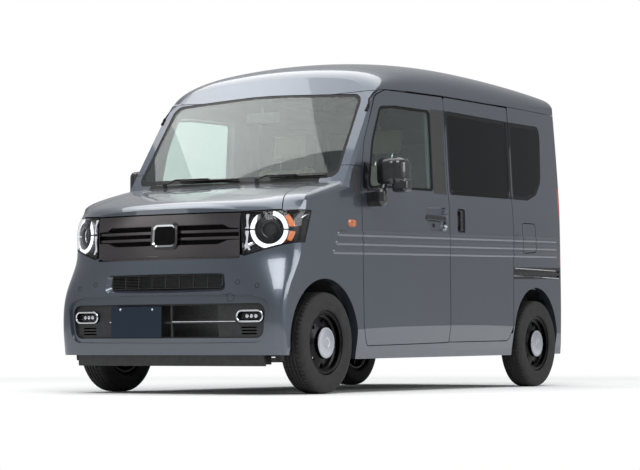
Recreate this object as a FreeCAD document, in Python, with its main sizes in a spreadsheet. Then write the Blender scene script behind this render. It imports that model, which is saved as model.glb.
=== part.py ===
import FreeCAD, Part
import math
import os
from FreeCAD import Vector

# A tall kei van. +X is its left side, the front faces -Y, +Z is up, millimetres.
# The origin is on the floor, under the middle of its length and width.

doc = FreeCAD.newDocument("KeiVan")
sheet = doc.addObject("Spreadsheet::Sheet", "Sizes")

DRIVING = [
    ("wheelbase", 2520, "front axle to rear axle"),
    ("front_overhang", 475, "front axle to the bumper's tip"),
    ("rear_overhang", 400, "rear axle to the rear bumper's tip"),
    ("body_width", 1475, "over the raised side ribs"),
    ("body_height", 1945, "floor to the roof's crown"),
    ("track", 1310, "middle of the left tyre to middle of the right one"),
    ("tyre_radius", 268.4, "outer radius of a 145/80 R12 tyre"),
    ("tyre_width", 145, "over the sidewalls"),
    ("rim_radius", 166, "outer radius of the rim's flange"),
    ("rim_width", 112, "over the rim's flanges"),
    ("cap_radius", 82, "plain centre cap of the wheel"),
    ("panel_thickness", 44, "outer panels: doors, fenders, roof, tailgate"),
    ("frame_thickness", 42, "inner frame behind the outer panels"),
    ("frame_lap", 26, "how far the frame runs behind a door's edge"),
    ("seam", 5, "gap round doors and lids"),
    ("panel_seam", 3, "gap between fixed panels"),
    ("running_gap", 0.3, "gap between a closed door and the frame it rests on"),
    ("glass_thickness", 5, "window panes"),
    ("glass_inset", 3, "pane below the panel's face"),
    ("front_arch_radius", 333, "front wheel opening"),
    ("rear_arch_radius", 308, "rear wheel opening"),
    ("liner_gap", 71.6, "tyre tread to the front wheelhouse"),
    ("liner_thickness", 15, "wheelhouse wall"),
    ("floor_top", 525, "load floor above the road"),
    ("floor_thickness", 40, "load floor"),
    ("rib_height", 5.5, "raised side ribs above the flank"),
    ("rib_chord", 30, "width of a raised side rib"),
    ("recess_depth", 12, "step in the bumper round its lower opening"),
    ("slot_depth", 26, "black slots of the grille"),
    ("bar_setback", 8, "grille bars below the grille's face"),
    ("badge_height", 9, "plain badge above the grille's face"),
    ("lens_thickness", 3, "clear lamp covers"),
    ("bowl_depth", 34, "lamp bowl below the lens"),
    ("bowl_wall", 5, "rim of a lamp bowl"),
    ("mesh_pitch", 8, "bars of the mesh in the bumper's slot"),
    ("mesh_bar", 2.6, "thickness of a mesh bar"),
    ("lid_thickness", 26, "fuel lid, over its folded edge"),
    ("handle_recess", 24, "depth of the dish behind a door handle"),
    ("channel_depth", 16, "slide rail's channel"),
    ("vent_radius", 13, "round vents of the wheel disc"),
    ("steering_axis", 550, "turning axis of a front wheel from the middle line"),
    ("hub_radius", 24, "wheel spindle"),
    ("spindle_gap", 0.5, "wheel hub to spindle, all round"),
    ("engine_width", 620, "engine and gearbox block"),
    ("engine_depth", 330, "engine and gearbox block, front to back"),
    ("engine_height", 420, "engine and gearbox block"),
    ("steering_wheel_radius", 178, "middle of the rim's grip"),
    ("grip_radius", 14, "steering wheel's grip"),
    ("seat_width", 480, "front seat"),
]
for row, (alias, value, meaning) in enumerate(DRIVING, 1):
    sheet.set("A%d" % row, meaning)
    sheet.set("B%d" % row, str(value))
    sheet.setAlias("B%d" % row, alias)
doc.recompute()


def size(alias):
    return float(sheet.get(alias))


# The curves below are drawn on a van of these sizes, by station (distance behind the
# front axle), height, and distance from the middle line. place() carries them to the
# driving sizes: the sliding doors, the windows' height and the middle of the nose stretch.
DRAWN_WHEELBASE = 2520.0
DRAWN_FRONT = 475.0
DRAWN_REAR = 400.0
DRAWN_WIDTH = 1475.0
DRAWN_HEIGHT = 1945.0
LENGTH = size("front_overhang") + size("wheelbase") + size("rear_overhang")
FRONT_AXLE = size("front_overhang") - LENGTH / 2
REAR_AXLE = FRONT_AXLE + size("wheelbase")


def ramp(value, low, high):
    return min(max((value - low) / (high - low), 0.0), 1.0)


def along(station):
    stretch = (size("wheelbase") - DRAWN_WHEELBASE) * ramp(station, 1400, 2100)
    stretch += (size("rear_overhang") - DRAWN_REAR) * ramp(station, 2800, 2900)
    stretch -= (size("front_overhang") - DRAWN_FRONT) * ramp(-station, 345, 440)
    return FRONT_AXLE + station + stretch


def across(x):
    grow = (size("body_width") - DRAWN_WIDTH) / 2 * ramp(abs(x), 150, 600)
    return math.copysign(abs(x) + grow, x)


def up(z):
    return z + (size("body_height") - DRAWN_HEIGHT) * ramp(z, 1180, 1580)


def place(x, station, z):
    return Vector(across(x), along(station), up(z))


# Curves and surfaces by their control points


def clamped(count, degree):
    spans = count - degree
    knots = [float(i) for i in range(spans + 1)]
    return knots, [degree + 1] + [1] * (spans - 1) + [degree + 1]


def net(rows, degree=3):
    """Smooth face over rows of (x, station, z) control points"""
    poles = [[place(*point) for point in row] for row in rows]
    u_knots, u_mults = clamped(len(rows), degree)
    v_knots, v_mults = clamped(len(rows[0]), degree)
    face = Part.BSplineSurface()
    face.buildFromPolesMultsKnots(poles, u_mults, v_mults, u_knots, v_knots,
                                  False, False, degree, degree)
    return face.toShape()


def inset_path(path, depth):
    """Points of a side-view path moved square to it, downwards for a run to the rear"""
    moved = []
    for i, (s, z) in enumerate(path):
        s0, z0 = path[max(i - 1, 0)]
        s1, z1 = path[min(i + 1, len(path) - 1)]
        run = math.hypot(s1 - s0, z1 - z0)
        moved.append((s + (z1 - z0) / run * depth, z - (s1 - s0) / run * depth))
    return moved


def both_sides(half):
    """Mirror a row of (x, station, z) that starts on the middle line"""
    return [(-x, s, z) for x, s, z in reversed(half[1:])] + half


FAR = 4000.0

# Roof: station, height, sweep of the brow, drop from the crown to the gutter
ROOF = [(-300, 850, 0, 0), (0, 1130, 0, 0), (250, 1372, 0, 10), (420, 1572, 20, 30),
        (500, 1670, 35, 50), (540, 1742, 35, 73), (600, 1800, 33, 119), (700, 1844, 22, 160),
        (850, 1880, 8, 189), (1100, 1915, 0, 212), (1500, 1945, 0, 229), (2000, 1950, 0, 222),
        (2500, 1935, 0, 198), (2800, 1913, 0, 171), (3050, 1884, 0, 142)]
ROOF_CROWN = [(0, 0), (200, .027), (400, .117), (520, .225), (600, .37), (648, .53),
              (678, .743), (692, 1.0)]
ROOF_SKIRT = [(705, 110), (732, 320), (800, 700)]
GUTTER_X = 692.0
BROW_X = 632.0


def roof_solid(depth):
    rows = []
    path = inset_path([(s, z) for s, z, sweep, drop in ROOF], depth)
    for (s, z), (_, _, sweep, drop) in zip(path, ROOF):
        half = []
        for x, share in ROOF_CROWN:
            x = x * (GUTTER_X - depth) / GUTTER_X
            half.append((x, s + sweep * (x / BROW_X) ** 2, z - share * drop))
        for x, fall in ROOF_SKIRT:
            x = x - depth
            half.append((x, s + sweep * (x / BROW_X) ** 2, z - drop - fall))
        rows.append(both_sides(half))
    return net(rows).extrude(Vector(0, 0, -FAR))


# Flank: height and half width, then its bow along the car
FLANK = [(-100, 731), (200, 731), (400, 732), (620, 732), (860, 731.5), (1010, 730.5),
         (1090, 727), (1140, 720), (1250, 714), (1450, 704.5), (1700, 692), (2050, 672)]
FLANK_BOW = [(-800, -34), (-300, -9), (200, -1), (900, 0), (1700, 0), (2400, -3),
             (2800, -8), (3200, -20)]


def flank_solid(depth):
    """Everything to the right of the left flank"""
    rows = [[(x - depth + bow, s, z) for s, bow in FLANK_BOW] for z, x in FLANK]
    return net(rows).extrude(Vector(-1600 - size("body_width"), 0, 0))


# Nose: height, station of its middle, half width, squareness and crown of its plan
NOSE = [(-80, -440, 736, 7.6, 45), (160, -452, 738, 7.8, 45), (300, -471, 740, 8.2, 45),
        (440, -478, 741, 7.8, 45), (540, -475, 741, 6.2, 42), (620, -468, 741, 4.4, 36),
        (700, -463, 740, 3.3, 24), (760, -460, 739, 3.1, 14), (840, -456, 738, 3.4, 6),
        (910, -452, 737, 3.4, 0), (960, -450, 736, 2.7, 0), (1010, -446, 735, 2.6, 0),
        (1150, -440, 734, 2.6, 0), (1500, -430, 733, 2.6, 0), (2300, -400, 733, 2.6, 0)]
NOSE_SHARES = [0, .2, .4, .56, .7, .81, .89, .945, .98, 1.0]
NOSE_DEPTH = 330.0


def rounded_end(half_width, squareness, depth, crown=0.0):
    """Plan of a rounded end as (x, distance back from its middle)"""
    return [(half_width * f, depth * (1 - max(0.0, 1 - f ** squareness) ** (1 / squareness))
             + crown * f * f * (1 - f * f)) for f in NOSE_SHARES]


def nose_solid(depth):
    rows = []
    for z, s, half_width, squareness, crown in NOSE:
        plan = rounded_end(half_width - depth, squareness, NOSE_DEPTH, crown)
        rows.append(both_sides([(x, s + depth + back, z) for x, back in plan]))
    return net(rows).extrude(Vector(0, FAR + size("wheelbase"), 0))


# Tail: height, station and squareness of its plan
TAIL = [(-80, 2880, 8), (150, 2904, 8), (350, 2920, 8), (600, 2921, 8), (1000, 2914, 7.4),
        (1250, 2904, 6.8), (1720, 2870, 6.2), (2050, 2840, 6), (2250, 2815, 6)]
TAIL_DEPTH = 150.0


def tail_solid(depth):
    rows = []
    for z, s, squareness in TAIL:
        plan = rounded_end(736 - depth, squareness, TAIL_DEPTH)
        rows.append(both_sides([(x, s - depth - back, z) for x, back in plan]))
    return net(rows).extrude(Vector(0, -FAR - size("wheelbase"), 0))


# Windscreen: station and height of its middle line, swept back at the pillars
SCREEN = [(-760, -250), (-30, 900), (142, 1155), (312, 1400), (500, 1668), (800, 2100),
          (930, 2300)]
SCREEN_BOW = 68.0
SCREEN_HALF = 780.0
SCREEN_SLANT = 1.215


def screen_solid(depth):
    rows = []
    for s, z in SCREEN:
        xs = [SCREEN_HALF * (i / 3.0 - 1) for i in range(7)]
        rows.append([(x, s + SCREEN_SLANT * depth + SCREEN_BOW * (x / SCREEN_HALF) ** 2, z)
                     for x in xs])
    return net(rows).extrude(Vector(0, FAR + size("wheelbase"), 0))


# Hood: station and height of its middle line, and how far its sides sweep back with the nose
HOOD = [(-640, 690, .8), (-520, 870, .8), (-462, 960, 1.1), (-434, 1000, 1.15), (-380, 1019, .9),
        (-310, 1037, .55), (-200, 1066, .2), (0, 1112, 0), (170, 1150, 0), (420, 1200, 0)]
HOOD_ACROSS = [0, 260, 440, 560, 640, 700, 740, 780]
HOOD_CROWN = 22.0
HOOD_SLANT = 0.3


def hood_solid(depth):
    rows = []
    for s, z, sweep in HOOD:
        half = []
        for x in HOOD_ACROSS:
            back = NOSE_DEPTH * (1 - (1 - (min(x, 700) / 736.0) ** 2.7) ** (1 / 2.7))
            half.append((x, s + sweep * back + HOOD_SLANT * depth,
                         z - depth - HOOD_CROWN * (x / SCREEN_HALF) ** 2))
        rows.append(both_sides(half))
    return net(rows).extrude(Vector(0, 0, -1400))


# Shoulder: the fender's top falls away outboard of the hood, and climbs towards the rear
SHOULDER = [(-900, 700), (-300, 420), (380, 150), (560, 62), (640, 30), (690, 12), (712, -12),
            (728, -46), (760, -140), (800, -300)]
SHOULDER_HEIGHT = 1085.0
SHOULDER_CLIMB = 0.2335


def shoulder_solid(depth):
    """Everything below the left shoulder"""
    rows = [[(x, s, SHOULDER_HEIGHT + SHOULDER_CLIMB * s + rise - depth) for x, rise in SHOULDER]
            for s in (-900, -400, 100, 600)]
    return net(rows).extrude(Vector(0, 0, -1800))


# Sill: the flank turns in below a crease that climbs towards the rear
SILL_RISE = 0.0185


def tuck_solid(depth):
    """Everything inboard of the tucked-in left sill"""
    half = across(734) - depth
    low = Vector(half - 38, along(-900), 60 - 900 * SILL_RISE)
    mid = Vector(half - 25, along(-900), 200 - 900 * SILL_RISE)
    crease = Vector(half, along(-900), 362 - 900 * SILL_RISE)
    top = Vector(half + 316, along(-900), 2700)
    far_top = Vector(-half - 300, along(-900), 2700)
    far_low = Vector(-half - 300, along(-900), 60 - 900 * SILL_RISE)
    run = LENGTH + 1200
    return Part.Face(Part.makePolygon([low, mid, crease, top, far_top, far_low, low])
                     ).extrude(Vector(0, run, run * SILL_RISE))


def mirrored(shape):
    return shape.mirror(Vector(0, 0, 0), Vector(1, 0, 0))


def block(x0, x1, s0, s1, z0, z1):
    """Box between two corners, in drawn places"""
    low = place(min(x0, x1), min(s0, s1), min(z0, z1))
    high = place(max(x0, x1), max(s0, s1), max(z0, z1))
    return Part.makeBox(high.x - low.x, high.y - low.y, high.z - low.z, low)


UNDERSIDE = [(-900, 172), (3100, 205)]


def above_road(drop=0.0):
    """Everything above the body's lower edge"""
    (s0, z0), (s1, z1) = UNDERSIDE
    side = [Vector(-900, along(s0), z0 - drop), Vector(-900, along(s1), z1 - drop),
            Vector(-900, along(s1), 2800), Vector(-900, along(s0), 2800)]
    return Part.Face(Part.makePolygon(side + side[:1])).extrude(Vector(1800, 0, 0))


def envelope(depth):
    """The whole body's outer form moved inwards by a depth, and open below"""
    left = flank_solid(depth).common(tuck_solid(depth))
    form = left.common(mirrored(left)).common(nose_solid(depth)).common(tail_solid(depth))
    cabin = roof_solid(depth).common(screen_solid(depth))
    shoulder = shoulder_solid(depth)
    front = hood_solid(depth).common(block(-850, 850, -800, 330, -300, 2100))
    front = front.common(shoulder).common(mirrored(shoulder))
    return form.common(above_road(depth)).common(cabin.fuse(front))


# Outlines with rounded corners


def rounded(corners):
    """Closed wire through (point, radius) corners, each corner an arc of its radius"""
    count = len(corners)
    edges = []
    ends = []
    for i, (point, radius) in enumerate(corners):
        before = corners[i - 1][0] - point
        after = corners[(i + 1) % count][0] - point
        half = before.getAngle(after) / 2
        if radius <= 0 or half > math.radians(89.5):
            ends.append((point, None, point))
            continue
        cut = min(radius / math.tan(half), 0.45 * min(before.Length, after.Length))
        radius = cut * math.tan(half)
        before.normalize()
        after.normalize()
        middle = (before + after).normalize() * (cut / math.cos(half) - radius)
        ends.append((point + before * cut, point + middle, point + after * cut))
    for i, (start, middle, end) in enumerate(ends):
        if middle is not None:
            edges.append(Part.Arc(start, middle, end).toShape())
        following = ends[(i + 1) % count][0]
        if end.distanceToPoint(following) > 1e-6:
            edges.append(Part.makeLine(end, following))
    return Part.Wire(edges)


def grown(face, gap):
    return face.makeOffset2D(gap) if gap else face


def side_cut(corners, gap=0.0, x0=-100.0, x1=900.0):
    """Prism along X of a side-view outline of (station, z, radius)"""
    wire = rounded([(Vector(x0, along(s), up(z)), r) for s, z, r in corners])
    return grown(Part.Face(wire), gap).extrude(Vector(x1 - x0, 0, 0))


def front_cut(corners, gap=0.0, s0=-700.0, s1=700.0):
    """Prism along Y of a front-view outline of (x, z, radius)"""
    wire = rounded([(Vector(across(x), along(s0), up(z)), r) for x, z, r in corners])
    return grown(Part.Face(wire), gap).extrude(Vector(0, along(s1) - along(s0), 0))


def plan_cut(corners, gap=0.0, z0=0.0, z1=2400.0):
    """Prism along Z of a plan outline of (x, station, radius)"""
    wire = rounded([(Vector(across(x), along(s), z0), r) for x, s, r in corners])
    return grown(Part.Face(wire), gap).extrude(Vector(0, 0, z1 - z0))


def wheel_hole(axle, radius, x0, x1, height=None):
    centre_z = size("tyre_radius") if height is None else height
    return Part.makeCylinder(radius, x1 - x0, Vector(x0, axle, centre_z), Vector(1, 0, 0))


# Side-view outlines: station, height, corner radius
FRONT_DOOR = [(421, 255, 30), (1353, 275, 14), (1337, 1699, 20), (664, 1674, 80),
              (555, 1634, 60), (412, 1373, 300), (349, 1100, 90), (356, 880, 400),
              (371, 345, 200)]
FRONT_WINDOW = [(424, 1102, 30), (560, 1121, 200), (1170, 1139, 28), (1172, 1608, 28),
                (769, 1598, 300), (592, 1580, 60), (489, 1379, 300)]
SLIDE_DOOR = [(1359, 277, 14), (2118, 287, 50), (2168, 372, 60), (2173, 935, 300),
              (2165, 1716, 20), (1341, 1700, 20)]
SLIDE_WINDOW = [(1368, 1132, 25), (2143, 1152, 14), (2140, 1630, 14), (1362, 1624, 25)]
QUARTER_WINDOW = [(2194, 1153, 14), (2400, 1158, 120), (2530, 1200, 70), (2604, 1285, 70),
                  (2625, 1557, 200), (2606, 1638, 45), (2192, 1631, 14)]
GUTTER = [(380, 1598), (427, 1620), (541, 1660), (664, 1678), (949, 1695), (1330, 1708),
          (2166, 1725), (2722, 1731), (3000, 1733)]
BUMPER_TOP = [(-560, 700), (-440, 704), (-413, 713), (-222, 792), (-172, 723), (-158, 600)]
LAMP = [(458, 944, 12), (470, 716, 12), (745, 797, 12), (760, 962, 12)]
UPPER_SLOT = [(-364, 553, 22), (364, 553, 22), (358, 626, 16), (-358, 626, 16)]
MOUTH = [(-604, 293, 45), (604, 293, 45), (622, 472, 45), (-622, 472, 45)]
RECESS_OUT = [(-640, 250, 70), (640, 250, 70), (676, 500, 60), (560, 535, 200), (-560, 535, 200),
              (-676, 500, 60)]
RECESS_IN = [(-605, 288, 60), (605, 288, 60), (628, 470, 50), (540, 490, 200), (-540, 490, 200),
             (-628, 470, 50)]
SCREEN_EDGE = [(-664, 1160, 45), (0, 1150, 3000), (664, 1160, 45), (632, 1644, 60),
               (0, 1669, 3000), (-632, 1644, 60)]
TAILGATE = [(-640, 520, 60), (640, 520, 60), (648, 900, 0), (640, 1250, 0), (606, 1727, 60),
            (-606, 1727, 60), (-640, 1250, 0), (-648, 900, 0)]
TAIL_WINDOW = [(-560, 1120, 60), (560, 1120, 60), (540, 1600, 70), (-540, 1600, 70)]
HOOD_SIDE = [(664, -600, 0), (654, -345, 60), (590, -210, 160), (563, -90, 300), (552, 92, 20)]
HOOD_EDGE = [(-x, s, r) for x, s, r in HOOD_SIDE] + HOOD_SIDE[::-1]
FUEL_LID = [(2312, 827, 20), (2495, 840, 20), (2481, 1012, 20), (2305, 1010, 20)]

parts = {}


def node(name, shape):
    """A finished piece that takes its shape from the functions above"""
    piece = doc.addObject("Part::Feature", name)
    piece.Label = name
    piece.Shape = shape
    parts[name] = piece
    return piece


def above_gutter(gap):
    corners = [(s, z + gap, 0) for s, z in GUTTER] + [(3000, 2300, 0), (380, 2300, 0)]
    return side_cut(corners, 0, -900)


PANEL = size("panel_thickness")
FRAME = PANEL + size("frame_thickness")
SEAM = size("seam")
HALF_SEAM = size("panel_seam") / 2
REST = size("running_gap")
outer = envelope(0)
middle = envelope(PANEL)
inner = envelope(FRAME)
skin = outer.cut(middle)
road_side = above_road()
left_half = block(0, 900, -800, 3200, -50, 2300)

front_axle_z = size("tyre_radius")


def arch(axle, radius, rise):
    """Wheel opening: round above its centre, straight down below it"""
    low = Part.makeBox(480, 2 * radius, front_axle_z + rise + 60, Vector(420, axle - radius, -60))
    return wheel_hole(axle, radius, 420, 900, front_axle_z + rise).fuse(low).removeSplitter()


front_arch = arch(FRONT_AXLE - 22, size("front_arch_radius"), 4)
rear_arch = arch(REAR_AXLE - 30, size("rear_arch_radius"), 40)
screen_hole = front_cut(SCREEN_EDGE, 0, -100, 800)
roof_region = above_gutter(HALF_SEAM)
roof = skin.common(roof_region).cut(screen_hole)
tailgate_hole = front_cut(TAILGATE, SEAM, 2600, 3200)
node("roof_panel", roof.cut(tailgate_hole))

# Raised side ribs: station and height of each front end; all climb at one slope
RIBS = [(108, 850), (88, 801), (60, 752)]
RIB_CLIMB = 0.0279
RIB_END = 2787
RIB_JOINTS = (349, 900, 1750, 2400, RIB_END)
RIB_RADIUS = ((size("rib_chord") / 2) ** 2 + size("rib_height") ** 2) / (2 * size("rib_height"))
flank_face = net([[(x + bow, s, z) for s, bow in FLANK_BOW] for z, x in FLANK])


def on_flank(station, z, out=0.0):
    """Point on the left flank, moved outwards"""
    level = place(0, station, z)
    line = Part.makeLine(Vector(500, level.y, level.z), Vector(1100, level.y, level.z))
    return line.distToShape(flank_face)[1][0][1] + Vector(out, 0, 0)


def rib_pieces():
    sunk = size("rib_height") - RIB_RADIUS
    pieces = []
    for start, height in RIBS:
        points = [on_flank(s, height + RIB_CLIMB * (s - start), sunk) for s in (start,) + RIB_JOINTS]
        for a, b in zip(points, points[1:]):
            run = b - a
            pieces.append(Part.makeCylinder(RIB_RADIUS, run.Length, a, run))
        for point in points[:1] + points[-1:]:
            pieces.append(Part.makeSphere(RIB_RADIUS, point))
    return pieces


all_ribs = rib_pieces()


def ribbed(panel, region):
    """A panel with its length of the raised ribs"""
    for rib in all_ribs:
        run = rib.common(region)
        if run.Volume > 1:
            panel = panel.fuse(run)
    return panel


# Doors
flank_slab = flank_solid(0).cut(flank_solid(PANEL - REST)).common(tuck_solid(0))
below_gutter = flank_slab.cut(above_gutter(-SEAM / 2))


def pane(outline, gap=0.3):
    top = size("glass_inset")
    prism = side_cut(outline, -gap).common(flank_solid(top))
    return prism.cut(flank_solid(top + size("glass_thickness")))


def tapered_hole(outline, shrink, top, floor):
    """Dish with sloping walls, from the flank's face to a flat floor at a half width"""
    middle_s = sum(s for s, z, r in outline) / len(outline)
    middle_z = sum(z for s, z, r in outline) / len(outline)
    wires = []
    for x, less in ((top, 0.0), (floor, shrink)):
        corners = []
        for s, z, r in outline:
            towards = Vector(0, middle_s - s, middle_z - z).normalize() * less
            corners.append((Vector(x, along(s + towards.y), up(z + towards.z)), r))
        wires.append(rounded(corners))
    return Part.makeLoft(wires, True, True)


HANDLE_DISH = [(1048, 1044, 34), (1336, 1054, 34), (1318, 914, 40), (1100, 908, 50)]
SLIDE_DISH = [(1444, 1056, 14), (1541, 1056, 14), (1541, 914, 14), (1444, 914, 14)]
dish_floor = across(731.5) - size("handle_recess")
door_dish = tapered_hole(HANDLE_DISH, 16, across(731.5) + 4, dish_floor)
slide_dish = tapered_hole(SLIDE_DISH, 5, across(731.5) + 4, dish_floor)
front_door = below_gutter.common(side_cut(FRONT_DOOR)).cut(side_cut(FRONT_WINDOW)).cut(door_dish)
slide_door = below_gutter.common(side_cut(SLIDE_DOOR)).cut(side_cut(SLIDE_WINDOW)).cut(slide_dish)
front_door = ribbed(front_door, side_cut(FRONT_DOOR))
slide_door = ribbed(slide_door, side_cut(SLIDE_DOOR))
front_glass = pane(FRONT_WINDOW)
slide_glass = pane(SLIDE_WINDOW)
quarter_glass = pane(QUARTER_WINDOW)
node("door_left", front_door)
node("door_right", mirrored(front_door))
node("door_glass_left", front_glass)
node("door_glass_right", mirrored(front_glass))
node("sliding_door_left", slide_door)
node("sliding_door_right", mirrored(slide_door))
node("side_glass", Part.makeCompound([slide_glass, quarter_glass, mirrored(slide_glass),
                                      mirrored(quarter_glass)]))

# Fixed panels
side_skin = skin.cut(above_gutter(-HALF_SEAM)).cut(screen_hole).common(left_half)
bumper_region = side_cut([(s, z, 0) for s, z in BUMPER_TOP] + [(-158, 60, 0), (-560, 60, 0)],
                         0, -900)
for side in (1, -1):
    under_lamp = [(457, 700), (748, 700), (748, 803), (470, 722), (457, 722)][::side]
    bumper_region = bumper_region.fuse(front_cut([(side * x, z, 0) for x, z in under_lamp],
                                                 0, -700, -215))
rear_region = side_cut([(2760, 60, 0), (2760, 430, 0), (2800, 514, 0), (3000, 514, 0),
                        (3000, 60, 0)], 0, -900)
lamp_region = front_cut(LAMP, 0, -700, -120).cut(
    side_cut([(-138, 1000, 0), (-100, 1000, 0), (-100, 700, 0), (-250, 700, 0)], 0))
quarter_region = block(300, 900, 2175, 3200, 0, 2300)
quarter = side_skin.common(quarter_region).cut(side_cut(QUARTER_WINDOW)).cut(rear_arch)
quarter = quarter.cut(side_cut(SLIDE_DOOR, SEAM)).cut(rear_region).cut(tailgate_hole)
tail_lamp_region = block(650, 900, 2850, 3000, 760, 1258)
tail_lamp = quarter.common(tail_lamp_region)
quarter = quarter.cut(tail_lamp_region)
RAIL = [(2176, 662, 4), (2845, 680, 4), (2845, 752, 4), (2176, 736, 4)]
CHANNEL = size("channel_depth")
channel = side_cut(RAIL).cut(flank_solid(CHANNEL))
quarter = ribbed(quarter.cut(channel), side_cut(
    [(2178, 600, 0), (RIB_END + 40, 600, 0), (RIB_END + 40, 1000, 0), (2178, 1000, 0)]))
lid_hole = side_cut(FUEL_LID, SEAM)
lid = quarter.common(side_cut(FUEL_LID)).cut(flank_solid(size("lid_thickness")))
node("quarter_panel_left", quarter.cut(lid_hole))
node("quarter_panel_right", mirrored(quarter))
node("fuel_lid", lid)
node("tail_lamps", Part.makeCompound([tail_lamp, mirrored(tail_lamp)]))

# Sills under the doors
sill = side_skin.common(block(300, 900, 280, 2175, 0, 700)).cut(front_arch).cut(rear_arch)
sill = sill.cut(side_cut(FRONT_DOOR, SEAM)).cut(side_cut(SLIDE_DOOR, SEAM))
sill = sill.common(block(600, 900, 280, 2175, 0, 330))

# Front end
hood_cut = plan_cut(HOOD_EDGE, 0, 900, 1400).common(front_cut(
    [(-800, 948, 0), (800, 948, 0), (800, 1500, 0), (-800, 1500, 0)], 0, -800, 300))
hood_hole = plan_cut(HOOD_EDGE, SEAM, 900, 1400).common(front_cut(
    [(-800, 948 - SEAM, 0), (800, 948 - SEAM, 0), (800, 1500, 0), (-800, 1500, 0)], 0,
    -800, 300))
fender_region = block(200, 900, -800, 420, 0, 1225)
fender = side_skin.common(fender_region).cut(side_cut(FRONT_DOOR, SEAM)).cut(front_arch)
fender = fender.cut(bumper_region).cut(hood_hole).cut(lamp_region).cut(
    block(-900, 457, -800, -330, 690, 950)).cut(block(0, 900, 280, 500, 0, 330)).cut(
    block(0, 563, 60, 500, 1000, 1300))
under_hood = hood_solid(PANEL - REST).common(nose_solid(PANEL - REST))
node("hood", skin.common(hood_cut).cut(under_hood).cut(front_cut(LAMP, SEAM)).cut(
    mirrored(front_cut(LAMP, SEAM))))
fender = max(fender.Solids, key=lambda solid: solid.Volume)
fender = ribbed(fender, block(700, 900, 0, 420, 600, 1000).cut(side_cut(FRONT_DOOR, SEAM)))
node("front_fender_left", fender)
node("front_fender_right", mirrored(fender))


def between(top, under, outline_solid):
    """Layer that follows the nose, between two depths, within a prism"""
    return outline_solid.common(nose_solid(top)).cut(nose_solid(under))


def tapered_front(outer_outline, inner_outline, s0, s1):
    wires = []
    for station, outline in ((s0, outer_outline), (s1, inner_outline)):
        wires.append(rounded([(Vector(across(x), along(station), up(z)), r)
                              for x, z, r in outline]))
    return Part.makeLoft(wires, True, True)


# Front bumper: a step with soft edges round its lower opening, and a slot above it
BUMPER_LOW = 205
bumper = skin.common(bumper_region).common(block(-900, 900, -800, 0, BUMPER_LOW, 900))
corner = bumper.common(block(520, 900, -800, 0, 0, 900)).cut(front_arch)
bumper = bumper.common(block(-520, 520, -800, 0, 0, 900)).fuse(corner).fuse(mirrored(corner))
step = tapered_front(RECESS_OUT, RECESS_IN, -520, -380).cut(nose_solid(size("recess_depth")))
SLOT_OUT = [(x * 1.15, z + (7 if z > 600 else -32), r + 10) for x, z, r in UPPER_SLOT]
slot_bevel = tapered_front(SLOT_OUT, UPPER_SLOT, -490, -438)
bumper = bumper.cut(step).cut(slot_bevel).cut(front_cut(UPPER_SLOT)).cut(front_cut(MOUTH))
lamp_gap = front_cut(LAMP, HALF_SEAM * 2, -700, -60)
bumper = bumper.cut(lamp_gap).cut(mirrored(lamp_gap))
node("front_bumper", bumper)

# Black inserts of the bumper: mesh, lower grille with its bar, and the lip
MESH_TOP = 20
MESH_UNDER = 32
mesh = between(MESH_TOP, MESH_UNDER, front_cut(UPPER_SLOT, -REST, -700, -300))
pitch = size("mesh_pitch")
rows = int((626 - 553 - pitch) / pitch)
windows = []
for column in range(8):
    left = -352 + column * 88.5
    for row in range(rows):
        low = 558 + row * pitch
        windows.append(block(left, left + 84, -700, -300, low, low + pitch - size("mesh_bar")))
mesh = mesh.cut(Part.makeCompound(windows))
FOG = [(446, 374, 30), (606, 374, 30), (606, 438, 30), (446, 438, 30)]
insert = between(26, 40, front_cut(MOUTH, -REST, -700, -250))
insert = insert.cut(front_cut([(-330, 300, 8), (330, 300, 8), (330, 370, 4), (-330, 370, 4)]))
insert = insert.cut(front_cut([(-330, 380, 4), (330, 380, 4), (330, 464, 8), (-330, 464, 8)]))
insert = insert.fuse(between(26, 40, block(32, 44, -700, -250, 296, 468)))
for side in (1, -1):
    insert = insert.cut(front_cut([(side * x, z, r) for x, z, r in FOG][::side], REST))
    for z in (312, 328, 344):
        insert = insert.cut(front_cut([(side * x, h, 2) for x, h in
                                       ((470, z), (560, z), (560, z + 8), (470, z + 8))][::side]))
lip = between(14, 30, block(-600, 600, -700, -150, 148, BUMPER_LOW))
lip = lip.cut(front_arch).cut(mirrored(front_arch))
node("bumper_grilles", Part.makeCompound([mesh, insert, lip]))

# Fog lamps: a bright oval ring round a dished reflector
fog = between(18, 46, front_cut(FOG, -REST, -700, -200))
fog = fog.cut(front_cut([(458, 386, 20), (594, 386, 20), (594, 426, 20), (458, 426, 20)]).cut(
    nose_solid(34)))
node("fog_lamps", Part.makeCompound([fog, mirrored(fog)]))

# Grille: black slots between two bars, a plain raised badge in the middle
grille_region = block(-456, 456, -800, -330, 702, 941)
grille = skin.common(grille_region).cut(bumper_region)
SLOTS = [[(-452, 856, 0), (-387, 856, 0), (387, 856, 0), (452, 856, 0), (452, 862, 2), (392, 866, 4),
          (359, 884, 6), (-359, 884, 6), (-392, 866, 4), (-452, 862, 2)],
         [(-452, 820, 2), (452, 820, 2), (452, 843, 2), (-452, 843, 2)],
         [(-331, 780, 6), (331, 780, 6), (387, 800, 4), (452, 802, 2), (452, 807, 0), (-452, 807, 0),
          (-452, 802, 2), (-387, 800, 4)]]
slot_floor = nose_solid(size("slot_depth"))
for outline in SLOTS:
    grille = grille.cut(front_cut(outline).cut(slot_floor))
bar_floor = nose_solid(size("bar_setback"))
for low, high in ((843, 856), (807, 820)):
    grille = grille.cut(block(-452, 452, -700, -300, low, high).cut(bar_floor))
grille = grille.cut(block(-460, 460, -700, -300, 700, 716).cut(nose_solid(12)))
BADGE = [(-88, 760, 37), (88, 760, 37), (84, 903, 37), (-84, 903, 37)]
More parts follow.
